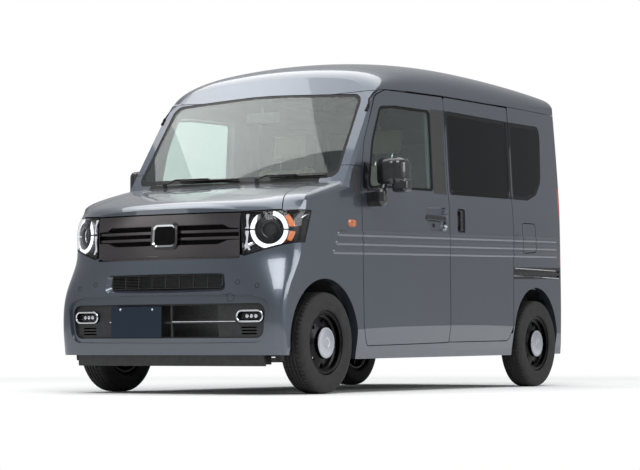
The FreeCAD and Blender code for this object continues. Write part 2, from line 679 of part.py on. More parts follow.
BADGE_DISH = [(-73, 775, 26), (73, 775, 26), (70, 889, 26), (-70, 889, 26)]
badge = between(-size("badge_height"), PANEL - 4, front_cut(BADGE))
grille = grille.fuse(badge).cut(front_cut(BADGE_DISH).cut(nose_solid(-3)))
node("grille", grille)


# Headlamps: a bowl behind a clear cover, with a split ring and a projector
def lamp_core(depth):
    corner_block = block(300, 900, -800, 0, 600, 1100)
    return corner_block.common(flank_solid(depth)).common(nose_solid(depth))


BOWL = size("bowl_depth")
WALL = size("bowl_wall")
lamp = side_skin.common(lamp_region)
core_floor = lamp_core(BOWL)
LAMP_REAR = [(-138 - 12, 1000, 0), (0, 1000, 0), (0, 700, 0), (-250 - 12, 700, 0)]
bowl_hole = front_cut(LAMP, -WALL, -700, -120).cut(side_cut(LAMP_REAR, 0))
lens_hole = front_cut(LAMP, -WALL - REST, -700, -120).cut(side_cut(
    [(s - REST, z, r) for s, z, r in LAMP_REAR], 0))
RING_CENTRE = place(576, -323, 852)
RING_TURN = math.radians(25)
ring_axis = Vector(math.sin(RING_TURN), -math.cos(RING_TURN), 0)


def lamp_tube(radius, reach=120):
    return Part.makeCylinder(radius, 2 * reach, RING_CENTRE - ring_axis * reach, ring_axis)


housing = lamp.cut(bowl_hole.cut(core_floor))
projector = lamp_tube(47).cut(lamp_tube(40)).common(lamp_core(14)).cut(lamp_core(PANEL - 4))
dome = Part.makeSphere(42, RING_CENTRE + ring_axis * -30).common(lamp_core(10)).cut(
    lamp_core(PANEL - 4))
housing = housing.fuse(projector.common(bowl_hole)).fuse(dome.common(bowl_hole))
node("headlamps", Part.makeCompound([housing, mirrored(housing)]))
lens = lens_hole.common(lamp_core(0.5)).cut(lamp_core(0.5 + size("lens_thickness")))
node("headlamp_lenses", Part.makeCompound([lens, mirrored(lens)]))
ring = lamp_tube(98).cut(lamp_tube(76)).common(lens_hole).common(lamp_core(9)).cut(
    lamp_core(BOWL - REST))
ring = ring.cut(block(400, 800, -700, 0, 849, 856)).cut(block(540, 612, -700, 0, 880, 1000))
node("headlamp_rings", Part.makeCompound([ring, mirrored(ring)]))

# Tail
tailgate = outer.common(front_cut(TAILGATE, 0, 2600, 3200)).cut(tail_solid(PANEL - REST))
node("tailgate", tailgate.cut(front_cut(TAIL_WINDOW, 0, 2600, 3200)))
rear_bumper = skin.common(rear_region).cut(rear_arch).cut(mirrored(rear_arch))
node("rear_bumper", rear_bumper.cut(block(-640, 640, 2600, 2870, -50, 505)))

# Glass at both ends
def bent_pane(prism, solid):
    top = size("glass_inset")
    return prism.common(solid(top)).cut(solid(top + size("glass_thickness")))


node("windscreen", bent_pane(front_cut(SCREEN_EDGE, -REST, -100, 800), screen_solid))
node("tailgate_glass", bent_pane(front_cut(TAIL_WINDOW, -REST, 2600, 3200), tail_solid))

# Body shell: inner frame, floor, firewall, wheelhouses, rails, pillars' outer skin
LAP = size("frame_lap")
LINER = size("tyre_radius") + size("liner_gap")
LINER_WALL = size("liner_thickness")
FRONT_LINER_X = 405
REAR_LINER_X = 560
CAB_FLOOR_TOP = 400
TIE_HOLE = 5.5
TIE_X = 420
TIE_STATIONS = (1500, 1950)
FLOOR_BREAK = 1330
FIREWALL = 100
FLOOR = size("floor_thickness")
MAT = 4
floor_top = size("floor_top")


def liner(axle, x0, cavity):
    wall = 0 if cavity else LINER_WALL
    return Part.makeCylinder(LINER + wall, 900 - x0 + wall,
                             Vector(x0 - wall, axle, front_axle_z), Vector(1, 0, 0))


def both(shape):
    return shape.fuse(mirrored(shape))


shell = middle.cut(inner)
shell = shell.cut(side_cut(FRONT_DOOR, -LAP, -900)).cut(side_cut(SLIDE_DOOR, -LAP, -900))
shell = shell.cut(side_cut(QUARTER_WINDOW, 0, -900)).cut(screen_hole)
shell = shell.cut(block(0, 900, 1300, 1400, 301 + LAP, 1673))
shell = shell.cut(front_cut(TAILGATE, -LAP, 2600, 3200))
shell = shell.cut(plan_cut([(x * 0.95, min(s, 118), r) for x, s, r in HOOD_EDGE], 0, 850, 1400))
shell = shell.cut(block(-600, 600, -470, 2840, -50, 330))
shell = shell.cut(block(-520, 520, -800, -300, 560, 940)).cut(block(-640, 640, -800, -300, 0, 480))
for bow_start, bow_end in ((660, 1290), (1390, 2080), (2160, 2730)):
    shell = shell.cut(block(-590, 590, bow_start, bow_end, 1760, 2200))
cavities = both(liner(FRONT_AXLE, FRONT_LINER_X, True)).fuse(both(liner(REAR_AXLE, REAR_LINER_X,
                                                                         True)))
shell = shell.cut(cavities).common(road_side)
side_zone = block(560, 900, 150, 2835, 0, 2300)
pillars = side_skin.common(block(300, 900, 150, 900, 1228, 1800)).cut(side_cut(FRONT_DOOR, SEAM))
filler = Part.makeCylinder(28, 27, place(670, 2400, 920), Vector(1, 0, 0))
side_frame = shell.common(side_zone).fuse(pillars)
side_frame_left = side_frame.fuse(filler)
side_frame_right = mirrored(shell.common(mirrored(side_zone)).fuse(mirrored(pillars)))
rails = block(335, 420, -440, 150, 330, 420)
floors = block(-660, 660, FIREWALL, FLOOR_BREAK, CAB_FLOOR_TOP - FLOOR, CAB_FLOOR_TOP)
floors = floors.fuse(block(-660, 660, FLOOR_BREAK - FLOOR, FLOOR_BREAK, CAB_FLOOR_TOP - FLOOR,
                           floor_top))
floors = floors.fuse(block(-660, 660, FLOOR_BREAK - FLOOR, 2860, floor_top - FLOOR, floor_top))
floors = floors.fuse(block(-520, 520, 2290, 2800, floor_top, floor_top + MAT))
firewall = block(-660, 660, FIREWALL, FIREWALL + 40, CAB_FLOOR_TOP - FLOOR, 1130)
inside = both(rails).fuse(floors).fuse(firewall)
inside = inside.fuse(both(liner(FRONT_AXLE, FRONT_LINER_X, False)))
inside = inside.fuse(both(liner(REAR_AXLE, REAR_LINER_X, False)))
inside = inside.cut(block(-900, 900, -800, 3000, -50, 300)).common(middle).cut(cavities)
inside = inside.cut(side_frame).cut(mirrored(side_frame_right))
cowl = skin.common(block(-560, 560, 60, 330, 1000, 1260)).cut(hood_hole).cut(screen_hole)
tie_holes = [Part.makeCylinder(TIE_HOLE, FLOOR + 20, Vector(x, along(s), floor_top - FLOOR - 10))
             for x in (-TIE_X, TIE_X) for s in TIE_STATIONS]
for hole in tie_holes:
    inside = inside.cut(hole)
shell = shell.cut(side_zone).cut(mirrored(side_zone)).fuse(inside).fuse(cowl)
node("body_shell", shell)
node("side_frame_left", side_frame_left)
node("side_frame_right", mirrored(side_frame_right))
node("sill_left", sill)
node("sill_right", mirrored(sill))

# Engine, seats and other inner blocks

BODY_Z = 250


def plain_box(name, width, depth, height, x, y, z):
    """Part::Box centred on x, its sizes and place bound to the sheet by expressions"""
    box = doc.addObject("Part::Box", name)
    box.Label = name
    for key, value in (("Length", width), ("Width", depth), ("Height", height),
                       ("Placement.Base.x", x), ("Placement.Base.y", y),
                       ("Placement.Base.z", z)):
        box.setExpression(key, value)
    parts[name] = box
    return box


front_axle_cell = "(-(Sizes.wheelbase + Sizes.rear_overhang - Sizes.front_overhang) / 2)"
rear_axle_cell = "((Sizes.wheelbase + Sizes.front_overhang - Sizes.rear_overhang) / 2)"
plain_box("engine_block", "Sizes.engine_width", "Sizes.engine_depth", "Sizes.engine_height",
          "-Sizes.engine_width / 2", front_axle_cell + " + 90 - Sizes.engine_depth", "250")


def fused(name, shapes):
    whole = shapes[0]
    for shape in shapes[1:]:
        whole = whole.fuse(shape)
    return node(name, whole.removeSplitter())


def tube(radius, start, end):
    run = end - start
    return Part.makeCylinder(radius, run.Length, start, run)


KNUCKLE_X = size("steering_axis")
WHEEL_X = size("track") / 2
ARM_TOP = 190
fused("front_suspension", [
    block(-330, 330, -60, 200, 205, 250), both(block(250, KNUCKLE_X - 10, -25, 25, 165, ARM_TOP)),
    both(Part.makeCylinder(26, ARM_TOP - 165, Vector(KNUCKLE_X, FRONT_AXLE, 165))),
    both(block(250, 330, -25, 25, 165, 205)), both(block(335, 388, 120, 150, 250, 330)),
    both(block(250, 388, 120, 150, 205, 250))])


def knuckle():
    centre = Vector(KNUCKLE_X, FRONT_AXLE, front_axle_z)
    body = Part.makeBox(44, 60, 150, Vector(KNUCKLE_X - 22, FRONT_AXLE - 30, ARM_TOP + REST))
    spindle = tube(size("hub_radius"), centre, Vector(WHEEL_X + 30, FRONT_AXLE, front_axle_z))
    strut_top = front_axle_z + LINER - 4 * REST
    strut = tube(22, Vector(KNUCKLE_X, FRONT_AXLE, 330),
                 Vector(KNUCKLE_X, FRONT_AXLE, strut_top))
    return body.fuse(spindle).fuse(strut).removeSplitter()


node("knuckle_left", knuckle())
node("knuckle_right", mirrored(knuckle()))

rear_z = front_axle_z
rear_arms = both(block(470, 535, 2050, 2560, 250, 300))
rear_mounts = both(block(470, 535, 2050, 2110, 300, floor_top - FLOOR))
spindle = both(tube(size("hub_radius"), Vector(500, REAR_AXLE, rear_z),
                    Vector(WHEEL_X + 30, REAR_AXLE, rear_z)))
springs = both(Part.makeCylinder(52, floor_top - FLOOR - 300, Vector(410, REAR_AXLE - 60, 300)))
fused("rear_axle", [block(-500, 500, 2480, 2540, 240, 300), rear_arms, rear_mounts, spindle,
                    both(block(360, 480, 2410, 2540, 280, 300)), springs])


# Wheels: profiles of (radius, distance outboard of the wheel's middle plane)
def turned(profile, x, y, side):
    points = [Vector(x + side * a, y, front_axle_z + r) for r, a in profile]
    face = Part.Face(Part.makePolygon(points + points[:1]))
    return face.revolve(Vector(0, y, front_axle_z), Vector(1, 0, 0), 360)


TYRE = size("tyre_radius")
RIM = size("rim_radius")
W2 = size("tyre_width") / 2
F2 = size("rim_width") / 2
BEAD = RIM - 12
BORE = size("hub_radius") + size("spindle_gap")
TYRE_PROFILE = [(BEAD, -F2 + 7), (BEAD, -F2 + 22), (RIM + 20, -W2 + 12), (TYRE - 30, -W2 + 10),
                (TYRE - 10, -W2 + 22), (TYRE - 10, W2 - 22), (TYRE - 30, W2 - 10),
                (RIM + 20, W2 - 12), (BEAD, F2 - 22), (BEAD, F2 - 7), (RIM + 1, F2 - 7),
                (RIM + 24, W2 - 2), (TYRE - 62, W2), (TYRE - 30, W2 - 3), (TYRE - 8, W2 - 14),
                (TYRE, W2 - 30), (TYRE, -W2 + 30), (TYRE - 8, -W2 + 14), (TYRE - 30, -W2 + 3),
                (TYRE - 62, -W2), (RIM + 24, -W2 + 2), (RIM + 1, -F2 + 7)]
RIM_PROFILE = [(BORE, -20), (62, -20), (62, 10), (95, 24), (128, 18), (138, 12), (138, -20),
               (BEAD - 5, -34), (BEAD - 5, -F2 + 2), (RIM - 5, -F2 + 2), (RIM, -F2), (RIM, -F2 + 6.7),
               (BEAD - 0.3, -F2 + 6.7), (BEAD - 0.3, -30), (143, -18), (143, 18), (BEAD - 0.3, 30),
               (BEAD - 0.3, F2 - 6.7), (RIM, F2 - 6.7), (RIM, F2), (RIM - 5, F2 - 2),
               (BEAD - 5, F2 - 2), (BEAD - 5, 30), (136, 24), (100, 34),
               (size("cap_radius") + 2, 40), (size("cap_radius"), F2), (70, F2 + 4), (0.01, F2 + 6),
               (0.01, 36), (BORE, 36)]
VENTS = 8
VENT_CIRCLE = (size("cap_radius") + RIM - 12) / 2
for name, axle in (("front", FRONT_AXLE), ("rear", REAR_AXLE)):
    for side, word in ((1, "left"), (-1, "right")):
        node("tyre_%s_%s" % (name, word), turned(TYRE_PROFILE, side * WHEEL_X, axle, side))
        rim = turned(RIM_PROFILE, side * WHEEL_X, axle, side)
        for i in range(VENTS):
            turn = 2 * math.pi * i / VENTS
            centre = Vector(side * WHEEL_X - 80, axle + VENT_CIRCLE * math.cos(turn),
                            front_axle_z + VENT_CIRCLE * math.sin(turn))
            rim = rim.cut(Part.makeCylinder(size("vent_radius"), 160, centre, Vector(1, 0, 0)))
        node("rim_%s_%s" % (name, word), rim)


def slab(corners, x0, x1):
    wire = rounded([(Vector(x0, along(s), z), r) for s, z, r in corners])
    return Part.Face(wire).extrude(Vector(x1 - x0, 0, 0))


DASH = [(FIREWALL + 42, 1040, 0), (250, 1052, 60), (410, 1046, 30), (455, 975, 30),
        (430, 890, 20), (330, 800, 20), (FIREWALL + 42, 780, 0)]
node("dashboard", slab(DASH, -600, 600).common(inner))
SEAT_X = 330
SEAT_BASE = [(640, CAB_FLOOR_TOP, 0), (1020, CAB_FLOOR_TOP, 0), (1000, 640, 0), (620, 640, 0)]
CUSHION = [(560, 640, 40), (1090, 640, 40), (1080, 740, 40), (560, 770, 50)]
BACKREST = [(1030, 690, 10), (1150, 690, 50), (1290, 1340, 40), (1225, 1350, 40)]
HEADREST = [(1236, 1375, 30), (1310, 1370, 30), (1325, 1530, 30), (1262, 1535, 30)]
STALK = [(1248, 1290, 0), (1270, 1290, 0), (1290, 1390, 0), (1268, 1390, 0)]
half_seat = size("seat_width") / 2
seats = []
for centre in (-SEAT_X, SEAT_X):
    seat = slab(CUSHION, centre - half_seat, centre + half_seat)
    seat = seat.fuse(slab(SEAT_BASE, centre - 180, centre + 180))
    seat = seat.fuse(slab(BACKREST, centre - half_seat + 10, centre + half_seat - 10))
    seat = seat.fuse(slab(STALK, centre - 60, centre - 48)).fuse(slab(STALK, centre + 48, centre + 60))
    seat = seat.fuse(slab(HEADREST, centre - 120, centre + 120))
    seats.append(seat)
node("front_seats", Part.makeCompound(seats))
REAR_BASE = [(1860, floor_top, 0), (2080, floor_top, 0), (2080, 690, 0), (1860, 690, 0)]
REAR_CUSHION = [(1760, 690, 30), (2160, 690, 30), (2160, 770, 30), (1760, 785, 30)]
REAR_BACK = [(2110, 765, 20), (2180, 765, 20), (2270, 1240, 30), (2210, 1250, 30)]
fused("rear_seats", [slab(REAR_CUSHION, -540, 540), slab(REAR_BASE, -400, 400),
                     slab(REAR_BACK, -530, 530)])

WHEEL_CENTRE = Vector(-SEAT_X, along(560), 960)
COLUMN_TILT = math.radians(32)
column_axis = Vector(0, math.cos(COLUMN_TILT), math.sin(COLUMN_TILT))
grip = Part.makeTorus(size("steering_wheel_radius"), size("grip_radius"), WHEEL_CENTRE, column_axis)
boss = tube(55, WHEEL_CENTRE - column_axis * 50, WHEEL_CENTRE - column_axis * 5)
spokes = []
for turn in (0, 90, 180):
    spoke = Part.makeBox(size("steering_wheel_radius"), 26, 14, Vector(0, -13, -20))
    spoke.rotate(Vector(0, 0, 0), Vector(0, 0, 1), -turn)
    spoke.rotate(Vector(0, 0, 0), Vector(1, 0, 0), -(90 - math.degrees(COLUMN_TILT)))
    spoke.translate(WHEEL_CENTRE)
    spokes.append(spoke)
fused("steering_wheel", [grip, boss] + spokes)
column_start = WHEEL_CENTRE - column_axis * (50 + REST)
column = tube(32, column_start, column_start - column_axis * 260)
node("steering_column", column.cut(parts["dashboard"].Shape))

fused("fuel_tank", [block(-280, 280, 1420, 1980, 215, floor_top - FLOOR)])
fused("exhaust", [tube(21, Vector(-200, along(90), 300), Vector(-200, along(230), 300)),
                  tube(21, Vector(-200, along(220), 300), Vector(-400, along(520), 215)),
                  tube(21, Vector(-400, along(520), 215), Vector(-400, along(2620), 200)),
                  tube(70, Vector(-400, along(2600), 200 + 70), Vector(-400, along(2780), 270)),
                  block(-410, -390, 2680, 2700, 330, floor_top - FLOOR)])

# Mirrors: a foot on the door, an arm, the housing with its glass, a small pod below
def soft_box(x0, x1, s0, s1, z0, z1, radius):
    box = block(x0, x1, s0, s1, z0, z1)
    return box.makeFillet(radius, box.Edges)


MIRROR_PLAN = [(752, 548, 42), (956, 548, 42), (874, 430, 70), (776, 424, 60)]
housing_box = plan_cut(MIRROR_PLAN, 0, up(1127), up(1273))
housing_box = housing_box.makeFillet(34, [edge for edge in housing_box.Edges
                                          if edge.BoundBox.ZLength < 1])
glass_cut = front_cut([(770, 1143, 24), (938, 1143, 24), (938, 1257, 24), (770, 1257, 24)], 0, 544, 600)
foot = soft_box(700, 832, 402, 466, 1008, 1112, 30)
arm = tube(19, place(800, 436, 1080), place(806, 478, 1160))
mirror = housing_box.cut(glass_cut).fuse(arm).fuse(foot.cut(flank_solid(0)))
pod = soft_box(850, 944, 452, 530, 1084, 1160, 20)
node("mirror_left", mirror.fuse(pod).removeSplitter())
node("mirror_right", mirrored(mirror.removeSplitter()))

# Door handles: a bar across a dish, and a key cylinder
HANDLE_OUT = 736.5


def bar_handle(s0, s1, z0, z1, ends):
    bar = soft_box(HANDLE_OUT - 17, HANDLE_OUT, s0, s1, z0, z1, 7)
    for a, b, c, d in ends:
        bar = bar.fuse(block(0, HANDLE_OUT - 8, a, b, c, d).cut(block(0, 1, -900, 4000, 0, 2400)).common(
            Part.makeBox(200, 9000, 3000, Vector(dish_floor, -4500, 0))))
    return bar


handle = bar_handle(1062, 1300, 970, 1001, [(1100, 1128, 976, 995), (1258, 1288, 976, 995)])
handle = handle.cut(block(700, 732.2, 1030, 1094, 960, 1010))
key = Part.makeCylinder(11, 4, Vector(dish_floor, along(1196), up(944)), Vector(1, 0, 0))
front_handle = Part.makeCompound([handle, key])
node("door_handle_left", front_handle)
node("door_handle_right", mirrored(front_handle))
slide_handle = bar_handle(1477, 1508, 926, 1044, [(1482, 1503, 934, 952), (1482, 1503, 1018, 1036)])
slide_base = Part.makeBox(3, along(1531) - along(1454), up(1046) - up(924),
                          Vector(dish_floor, along(1454), up(924)))
slide_handle = slide_handle.fuse(slide_base).removeSplitter()
node("sliding_door_handles", Part.makeCompound([slide_handle, mirrored(slide_handle)]))

# Side marker lamps on the fenders
MARKER = [(204, 887, 20), (285, 889, 20), (285, 933, 20), (204, 931, 20)]
marker = tapered_hole(MARKER, 10, across(726), across(737)).cut(flank_solid(-REST))
node("side_markers", Part.makeCompound([marker, mirrored(marker)]))

# Slide rails of the sliding doors: a channel with two bright bars
rail = side_cut(RAIL, -REST).common(flank_solid(1)).cut(flank_solid(CHANNEL - REST))
for low, high in (((2176, 712, 0), (2845, 728, 0)), ((2176, 681, 0), (2845, 698, 0))):
    groove = side_cut([(low[0] - 10, low[1] - 7, 0), (2870, high[1] - 8, 0), (2870, high[1] + 4, 0),
                       (low[0] - 10, low[1] + 5, 0)])
    rail = rail.cut(groove.cut(flank_solid(11)))
rail = rail.cut(rear_arch)
node("slide_rails", Part.makeCompound([rail, mirrored(rail)]))

# Wipers: pivot on the cowl, arm, and a blade on the glass
screen_face = net([[(SCREEN_HALF * (i / 3.0 - 1), s + SCREEN_BOW * (i / 3.0 - 1) ** 2, z)
                    for i in range(7)] for s, z in SCREEN])
SCREEN_NORMAL = Vector(0, -0.82, 0.57)
PIVOT_STATION = 122


def on_screen(x, z, lift):
    """Point in front of the windscreen's face"""
    level = place(x, 0, z)
    line = Part.makeLine(Vector(level.x, FRONT_AXLE - 500, level.z),
                         Vector(level.x, FRONT_AXLE + 1200, level.z))
    return line.distToShape(screen_face)[1][0][1] + SCREEN_NORMAL * lift

PIVOT_RISE = 3.4


def wiper(pivot_x, tip_a, tip_b):
    blade_a = on_screen(tip_a[0], tip_a[1], 9)
    blade_b = on_screen(tip_b[0], tip_b[1], 9)
    middle_blade = (blade_a + blade_b) * 0.5
    joint = middle_blade + SCREEN_NORMAL * 14
    floor = place(pivot_x, PIVOT_STATION, 1000)
    line = Part.makeLine(floor, floor + Vector(0, 0, 400))
    seat = line.common(outer).BoundBox.ZMax
    root = Vector(floor.x, floor.y, seat + PIVOT_RISE)
    top = root + Vector(0, 0, 26)
    bend = blade_a + SCREEN_NORMAL * 16 + Vector(-20, 0, 0)
    pieces = [tube(5, top - Vector(0, 0, 6), bend), tube(5, bend, joint), Part.makeSphere(5, bend),
              tube(5, joint, middle_blade), Part.makeSphere(5, joint), tube(6, blade_a, blade_b)]
    whole = tube(12, root, top)
    for piece in pieces:
        whole = whole.fuse(piece)
    return whole


node("wipers", Part.makeCompound([wiper(196, (262, 1166), (600, 1168)),
                                  wiper(-420, (-345, 1168), (62, 1164))]))

doc.recompute()
os.makedirs("parts", exist_ok=True)
for name, piece in parts.items():
    shape = piece.Shape
    print(name, shape.isValid(), len(shape.Solids), round(shape.Volume / 1e6, 2))
    shape.exportStep("parts/%s.step" % name)
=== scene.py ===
"""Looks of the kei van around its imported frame: finishes, glass, lamps, trim, tyres and cabin.

Lengths are metres. A place on the van is given as on the CAD drawing, in millimetres:
x to the van's left, station back from the front axle, height above the road.
"""

import math

import bmesh
import bpy
from mathutils import Matrix, Vector
from mathutils.bvhtree import BVHTree


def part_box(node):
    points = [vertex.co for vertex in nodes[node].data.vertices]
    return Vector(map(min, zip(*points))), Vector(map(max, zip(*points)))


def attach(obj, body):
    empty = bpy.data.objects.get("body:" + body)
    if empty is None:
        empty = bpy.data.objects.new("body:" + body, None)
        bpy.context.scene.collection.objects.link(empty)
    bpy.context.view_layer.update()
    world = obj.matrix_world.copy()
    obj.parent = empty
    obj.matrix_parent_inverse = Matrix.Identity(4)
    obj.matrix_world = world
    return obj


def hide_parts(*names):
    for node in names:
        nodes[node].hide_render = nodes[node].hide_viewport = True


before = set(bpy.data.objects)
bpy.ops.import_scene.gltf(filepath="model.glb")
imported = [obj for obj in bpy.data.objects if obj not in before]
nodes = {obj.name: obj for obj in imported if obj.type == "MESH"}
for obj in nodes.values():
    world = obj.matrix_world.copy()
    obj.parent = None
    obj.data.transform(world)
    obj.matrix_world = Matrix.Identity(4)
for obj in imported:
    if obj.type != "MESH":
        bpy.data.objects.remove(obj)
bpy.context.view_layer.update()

MM = 0.001
_tyre_low, _tyre_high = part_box("tyre_front_left")
AXLE_Y = (_tyre_low.y + _tyre_high.y) / 2
TYRE_RADIUS = (_tyre_high.z - _tyre_low.z) / 2


def at(x, station, z):
    """Point of the CAD drawing, in the scene"""
    return Vector((x * MM, AXLE_Y + station * MM, z * MM))


def put(name, data):
    """New object in the scene"""
    made = bpy.data.objects.new(name, data)
    bpy.context.scene.collection.objects.link(made)
    return made


# Materials

def new_material(name):
    material = bpy.data.materials.new(name)
    material.use_nodes = True
    tree = material.node_tree
    return material, tree, tree.nodes["Principled BSDF"]


def add(tree, kind, **values):
    """Shader node; a value that names a socket sets it, any other sets a property"""
    made = tree.nodes.new(kind)
    for key, value in values.items():
        socket = key.replace("_", " ")
        if socket in made.inputs:
            made.inputs[socket].default_value = value
        else:
            setattr(made, key, value)
    return made


def wire(tree, source, output, target, socket):
    tree.links.new(source.outputs[output], target.inputs[socket])


def object_noise(tree, scale, detail=3.0, stretch=(1, 1, 1), kind="ShaderNodeTexNoise"):
    place = add(tree, "ShaderNodeTexCoord")
    scaled = add(tree, "ShaderNodeMapping")
    scaled.inputs["Scale"].default_value = stretch
    wire(tree, place, "Object", scaled, "Vector")
    noise = add(tree, kind, Scale=scale)
    if kind == "ShaderNodeTexNoise":
        noise.inputs["Detail"].default_value = detail
    wire(tree, scaled, "Vector", noise, "Vector")
    return noise


def varied_colour(tree, shader, noise, low, high, first=0.35, last=0.65):
    ramp = add(tree, "ShaderNodeValToRGB")
    ramp.color_ramp.elements[0].position = first
    ramp.color_ramp.elements[1].position = last
    ramp.color_ramp.elements[0].color = (*low, 1)
    ramp.color_ramp.elements[1].color = (*high, 1)
    wire(tree, noise, 0, ramp, "Fac")
    wire(tree, ramp, "Color", shader, "Base Color")
    return ramp


def varied_roughness(tree, shader, noise, low, high):
    spread = add(tree, "ShaderNodeMapRange")
    spread.inputs["To Min"].default_value = low
    spread.inputs["To Max"].default_value = high
    wire(tree, noise, 0, spread, "Value")
    wire(tree, spread, "Result", shader, "Roughness")


def bump(tree, shader, noise, strength, depth, base=None):
    made = add(tree, "ShaderNodeBump", Strength=strength, Distance=depth)
    wire(tree, noise, 0, made, "Height")
    if base is not None:
        wire(tree, base, "Normal", made, "Normal")
    wire(tree, made, "Normal", shader, "Normal")
    return made


def plain(shader, **values):
    for key, value in values.items():
        shader.inputs[key.replace("_", " ")].default_value = value


def car_paint():
    material, tree, shader = new_material("slate_metallic_paint")
    plain(shader, Metallic=0.75, Coat_Weight=1.0, Coat_Roughness=0.03, Coat_IOR=1.5)
    flakes = object_noise(tree, 5200, kind="ShaderNodeTexVoronoi")
    varied_colour(tree, shader, flakes, (0.058, 0.070, 0.090), (0.094, 0.110, 0.136), 0.2, 0.8)
    varied_roughness(tree, shader, object_noise(tree, 9, 2), 0.30, 0.36)
    peel = object_noise(tree, 260, 1)
    bump(tree, shader, peel, 0.02, 0.0004)
    return material


def grained_plastic(name, low, high, rough, grain=1500, strength=0.25, shine=0.5):
    material, tree, shader = new_material(name)
    plain(shader, Specular_IOR_Level=shine)
    varied_colour(tree, shader, object_noise(tree, 34, 4), low, high)
    grain_noise = object_noise(tree, grain, 2)
    varied_roughness(tree, shader, object_noise(tree, 60, 3), rough - 0.06, rough + 0.06)
    bump(tree, shader, grain_noise, strength, 0.0003)
    return material


def gloss_black(name="gloss_black", low=(0.006, 0.006, 0.007), high=(0.012, 0.012, 0.013), rough=0.12):
    material, tree, shader = new_material(name)
    plain(shader, Coat_Weight=0.6, Coat_Roughness=0.04)
    varied_colour(tree, shader, object_noise(tree, 40, 3), low, high)
    varied_roughness(tree, shader, object_noise(tree, 25, 3), rough, rough + 0.08)
    return material


def metal(name, low, high, rough, grain=120, stretch=(1, 1, 1)):
    material, tree, shader = new_material(name)
    plain(shader, Metallic=1.0)
    brushed = object_noise(tree, grain, 3, stretch)
    varied_colour(tree, shader, brushed, low, high)
    varied_roughness(tree, shader, brushed, rough * 0.8, rough * 1.25)
    bump(tree, shader, brushed, 0.04, 0.0002)
    return material


def glass(name, tint, rough=0.0, ior=1.48):
    """Glass that shows what is behind it and lets the lamps shine through"""
    material, tree, shader = new_material(name)
    plain(shader, Roughness=rough, IOR=ior, Transmission_Weight=1.0)
    varied_colour(tree, shader, object_noise(tree, 3, 1), tuple(c * 0.96 for c in tint), tint)
    rays = add(tree, "ShaderNodeLightPath")
    passing = add(tree, "ShaderNodeBsdfTransparent", Color=(*tint, 1))
    mix = add(tree, "ShaderNodeMixShader")
    wire(tree, rays, "Is Shadow Ray", mix, "Fac")
    wire(tree, shader, "BSDF", mix, 1)
    wire(tree, passing, "BSDF", mix, 2)
    wire(tree, mix, "Shader", tree.nodes["Material Output"], "Surface")
    return material


def glowing(name, colour, strength, first=-0.45, full=-0.75):
    """Light guide that glows where it faces forward and is dull on its walls"""
    material, tree, shader = new_material(name)
    plain(shader, Roughness=0.3)
    shader.inputs["Emission Color"].default_value = (*colour, 1)
    facing = add(tree, "ShaderNodeNewGeometry")
    split = add(tree, "ShaderNodeSeparateXYZ")
    share = add(tree, "ShaderNodeMapRange")
    for key, value in (("From Min", first), ("From Max", full), ("To Min", 0.0), ("To Max", strength)):
        share.inputs[key].default_value = value
    wire(tree, facing, "Normal", split, 0)
    wire(tree, split, "Y", share, "Value")
    wire(tree, share, "Result", shader, "Emission Strength")
    varied_colour(tree, shader, object_noise(tree, 90, 2), tuple(c * 0.2 for c in colour),
                  tuple(c * 0.25 for c in colour))
    return material


def ribbed_lens(name, low, high, pitch, rough=0.12, transmission=0.35):
    """Coloured lamp lens with moulded optic ribs"""
    material, tree, shader = new_material(name)
    plain(shader, IOR=1.49, Transmission_Weight=transmission, Coat_Weight=1.0, Coat_Roughness=0.02)
    wave = object_noise(tree, pitch, kind="ShaderNodeTexWave")
    wave.bands_direction = "Z"
    varied_colour(tree, shader, object_noise(tree, 60, 3), low, high)
    varied_roughness(tree, shader, object_noise(tree, 40, 2), rough, rough + 0.08)
    bump(tree, shader, wave, 0.5, 0.0008)
    return material


def banded_lamp(name, bands, reach=2.0):
    """Lamp moulding whose colour changes with height: (height in metres, colour) rows from below"""
    material, tree, shader = new_material(name)
    plain(shader, Roughness=0.1, Coat_Weight=1.0, Coat_Roughness=0.02)
    place = add(tree, "ShaderNodeTexCoord")
    split = add(tree, "ShaderNodeSeparateXYZ")
    share = add(tree, "ShaderNodeMath", operation="DIVIDE")
    share.inputs[1].default_value = reach
    wire(tree, place, "Object", split, 0)
    wire(tree, split, "Z", share, 0)
    ramp = add(tree, "ShaderNodeValToRGB")
    ramp.color_ramp.interpolation = "CONSTANT"
    while len(ramp.color_ramp.elements) < len(bands):
        ramp.color_ramp.elements.new(0.5)
    for element, (height, colour) in zip(ramp.color_ramp.elements, bands):
        element.position = height / reach
        element.color = (*colour, 1)
    wire(tree, share, 0, ramp, "Fac")
    wire(tree, ramp, "Color", shader, "Base Color")
    ribs = object_noise(tree, 260, kind="ShaderNodeTexWave")
    ribs.bands_direction = "Z"
    bump(tree, shader, ribs, 0.25, 0.0006)
    return material


def rubber():
    material, tree, shader = new_material("tyre_rubber")
    dust = object_noise(tree, 22, 6)
    varied_colour(tree, shader, dust, (0.006, 0.006, 0.006), (0.013, 0.0125, 0.012))
    varied_roughness(tree, shader, object_noise(tree, 120, 4), 0.66, 0.84)
    bump(tree, shader, object_noise(tree, 2200, 2), 0.3, 0.0003)
    return material


def woven_cloth(name, low, high, thread=900):
    material, tree, shader = new_material(name)
    plain(shader, Sheen_Weight=0.35, Sheen_Roughness=0.5)
    weave = object_noise(tree, thread, 2, (1, 1, 2.2))
    varied_colour(tree, shader, weave, low, high)
    varied_roughness(tree, shader, object_noise(tree, 30, 3), 0.82, 0.95)
    bump(tree, shader, weave, 0.6, 0.0006)
    return material


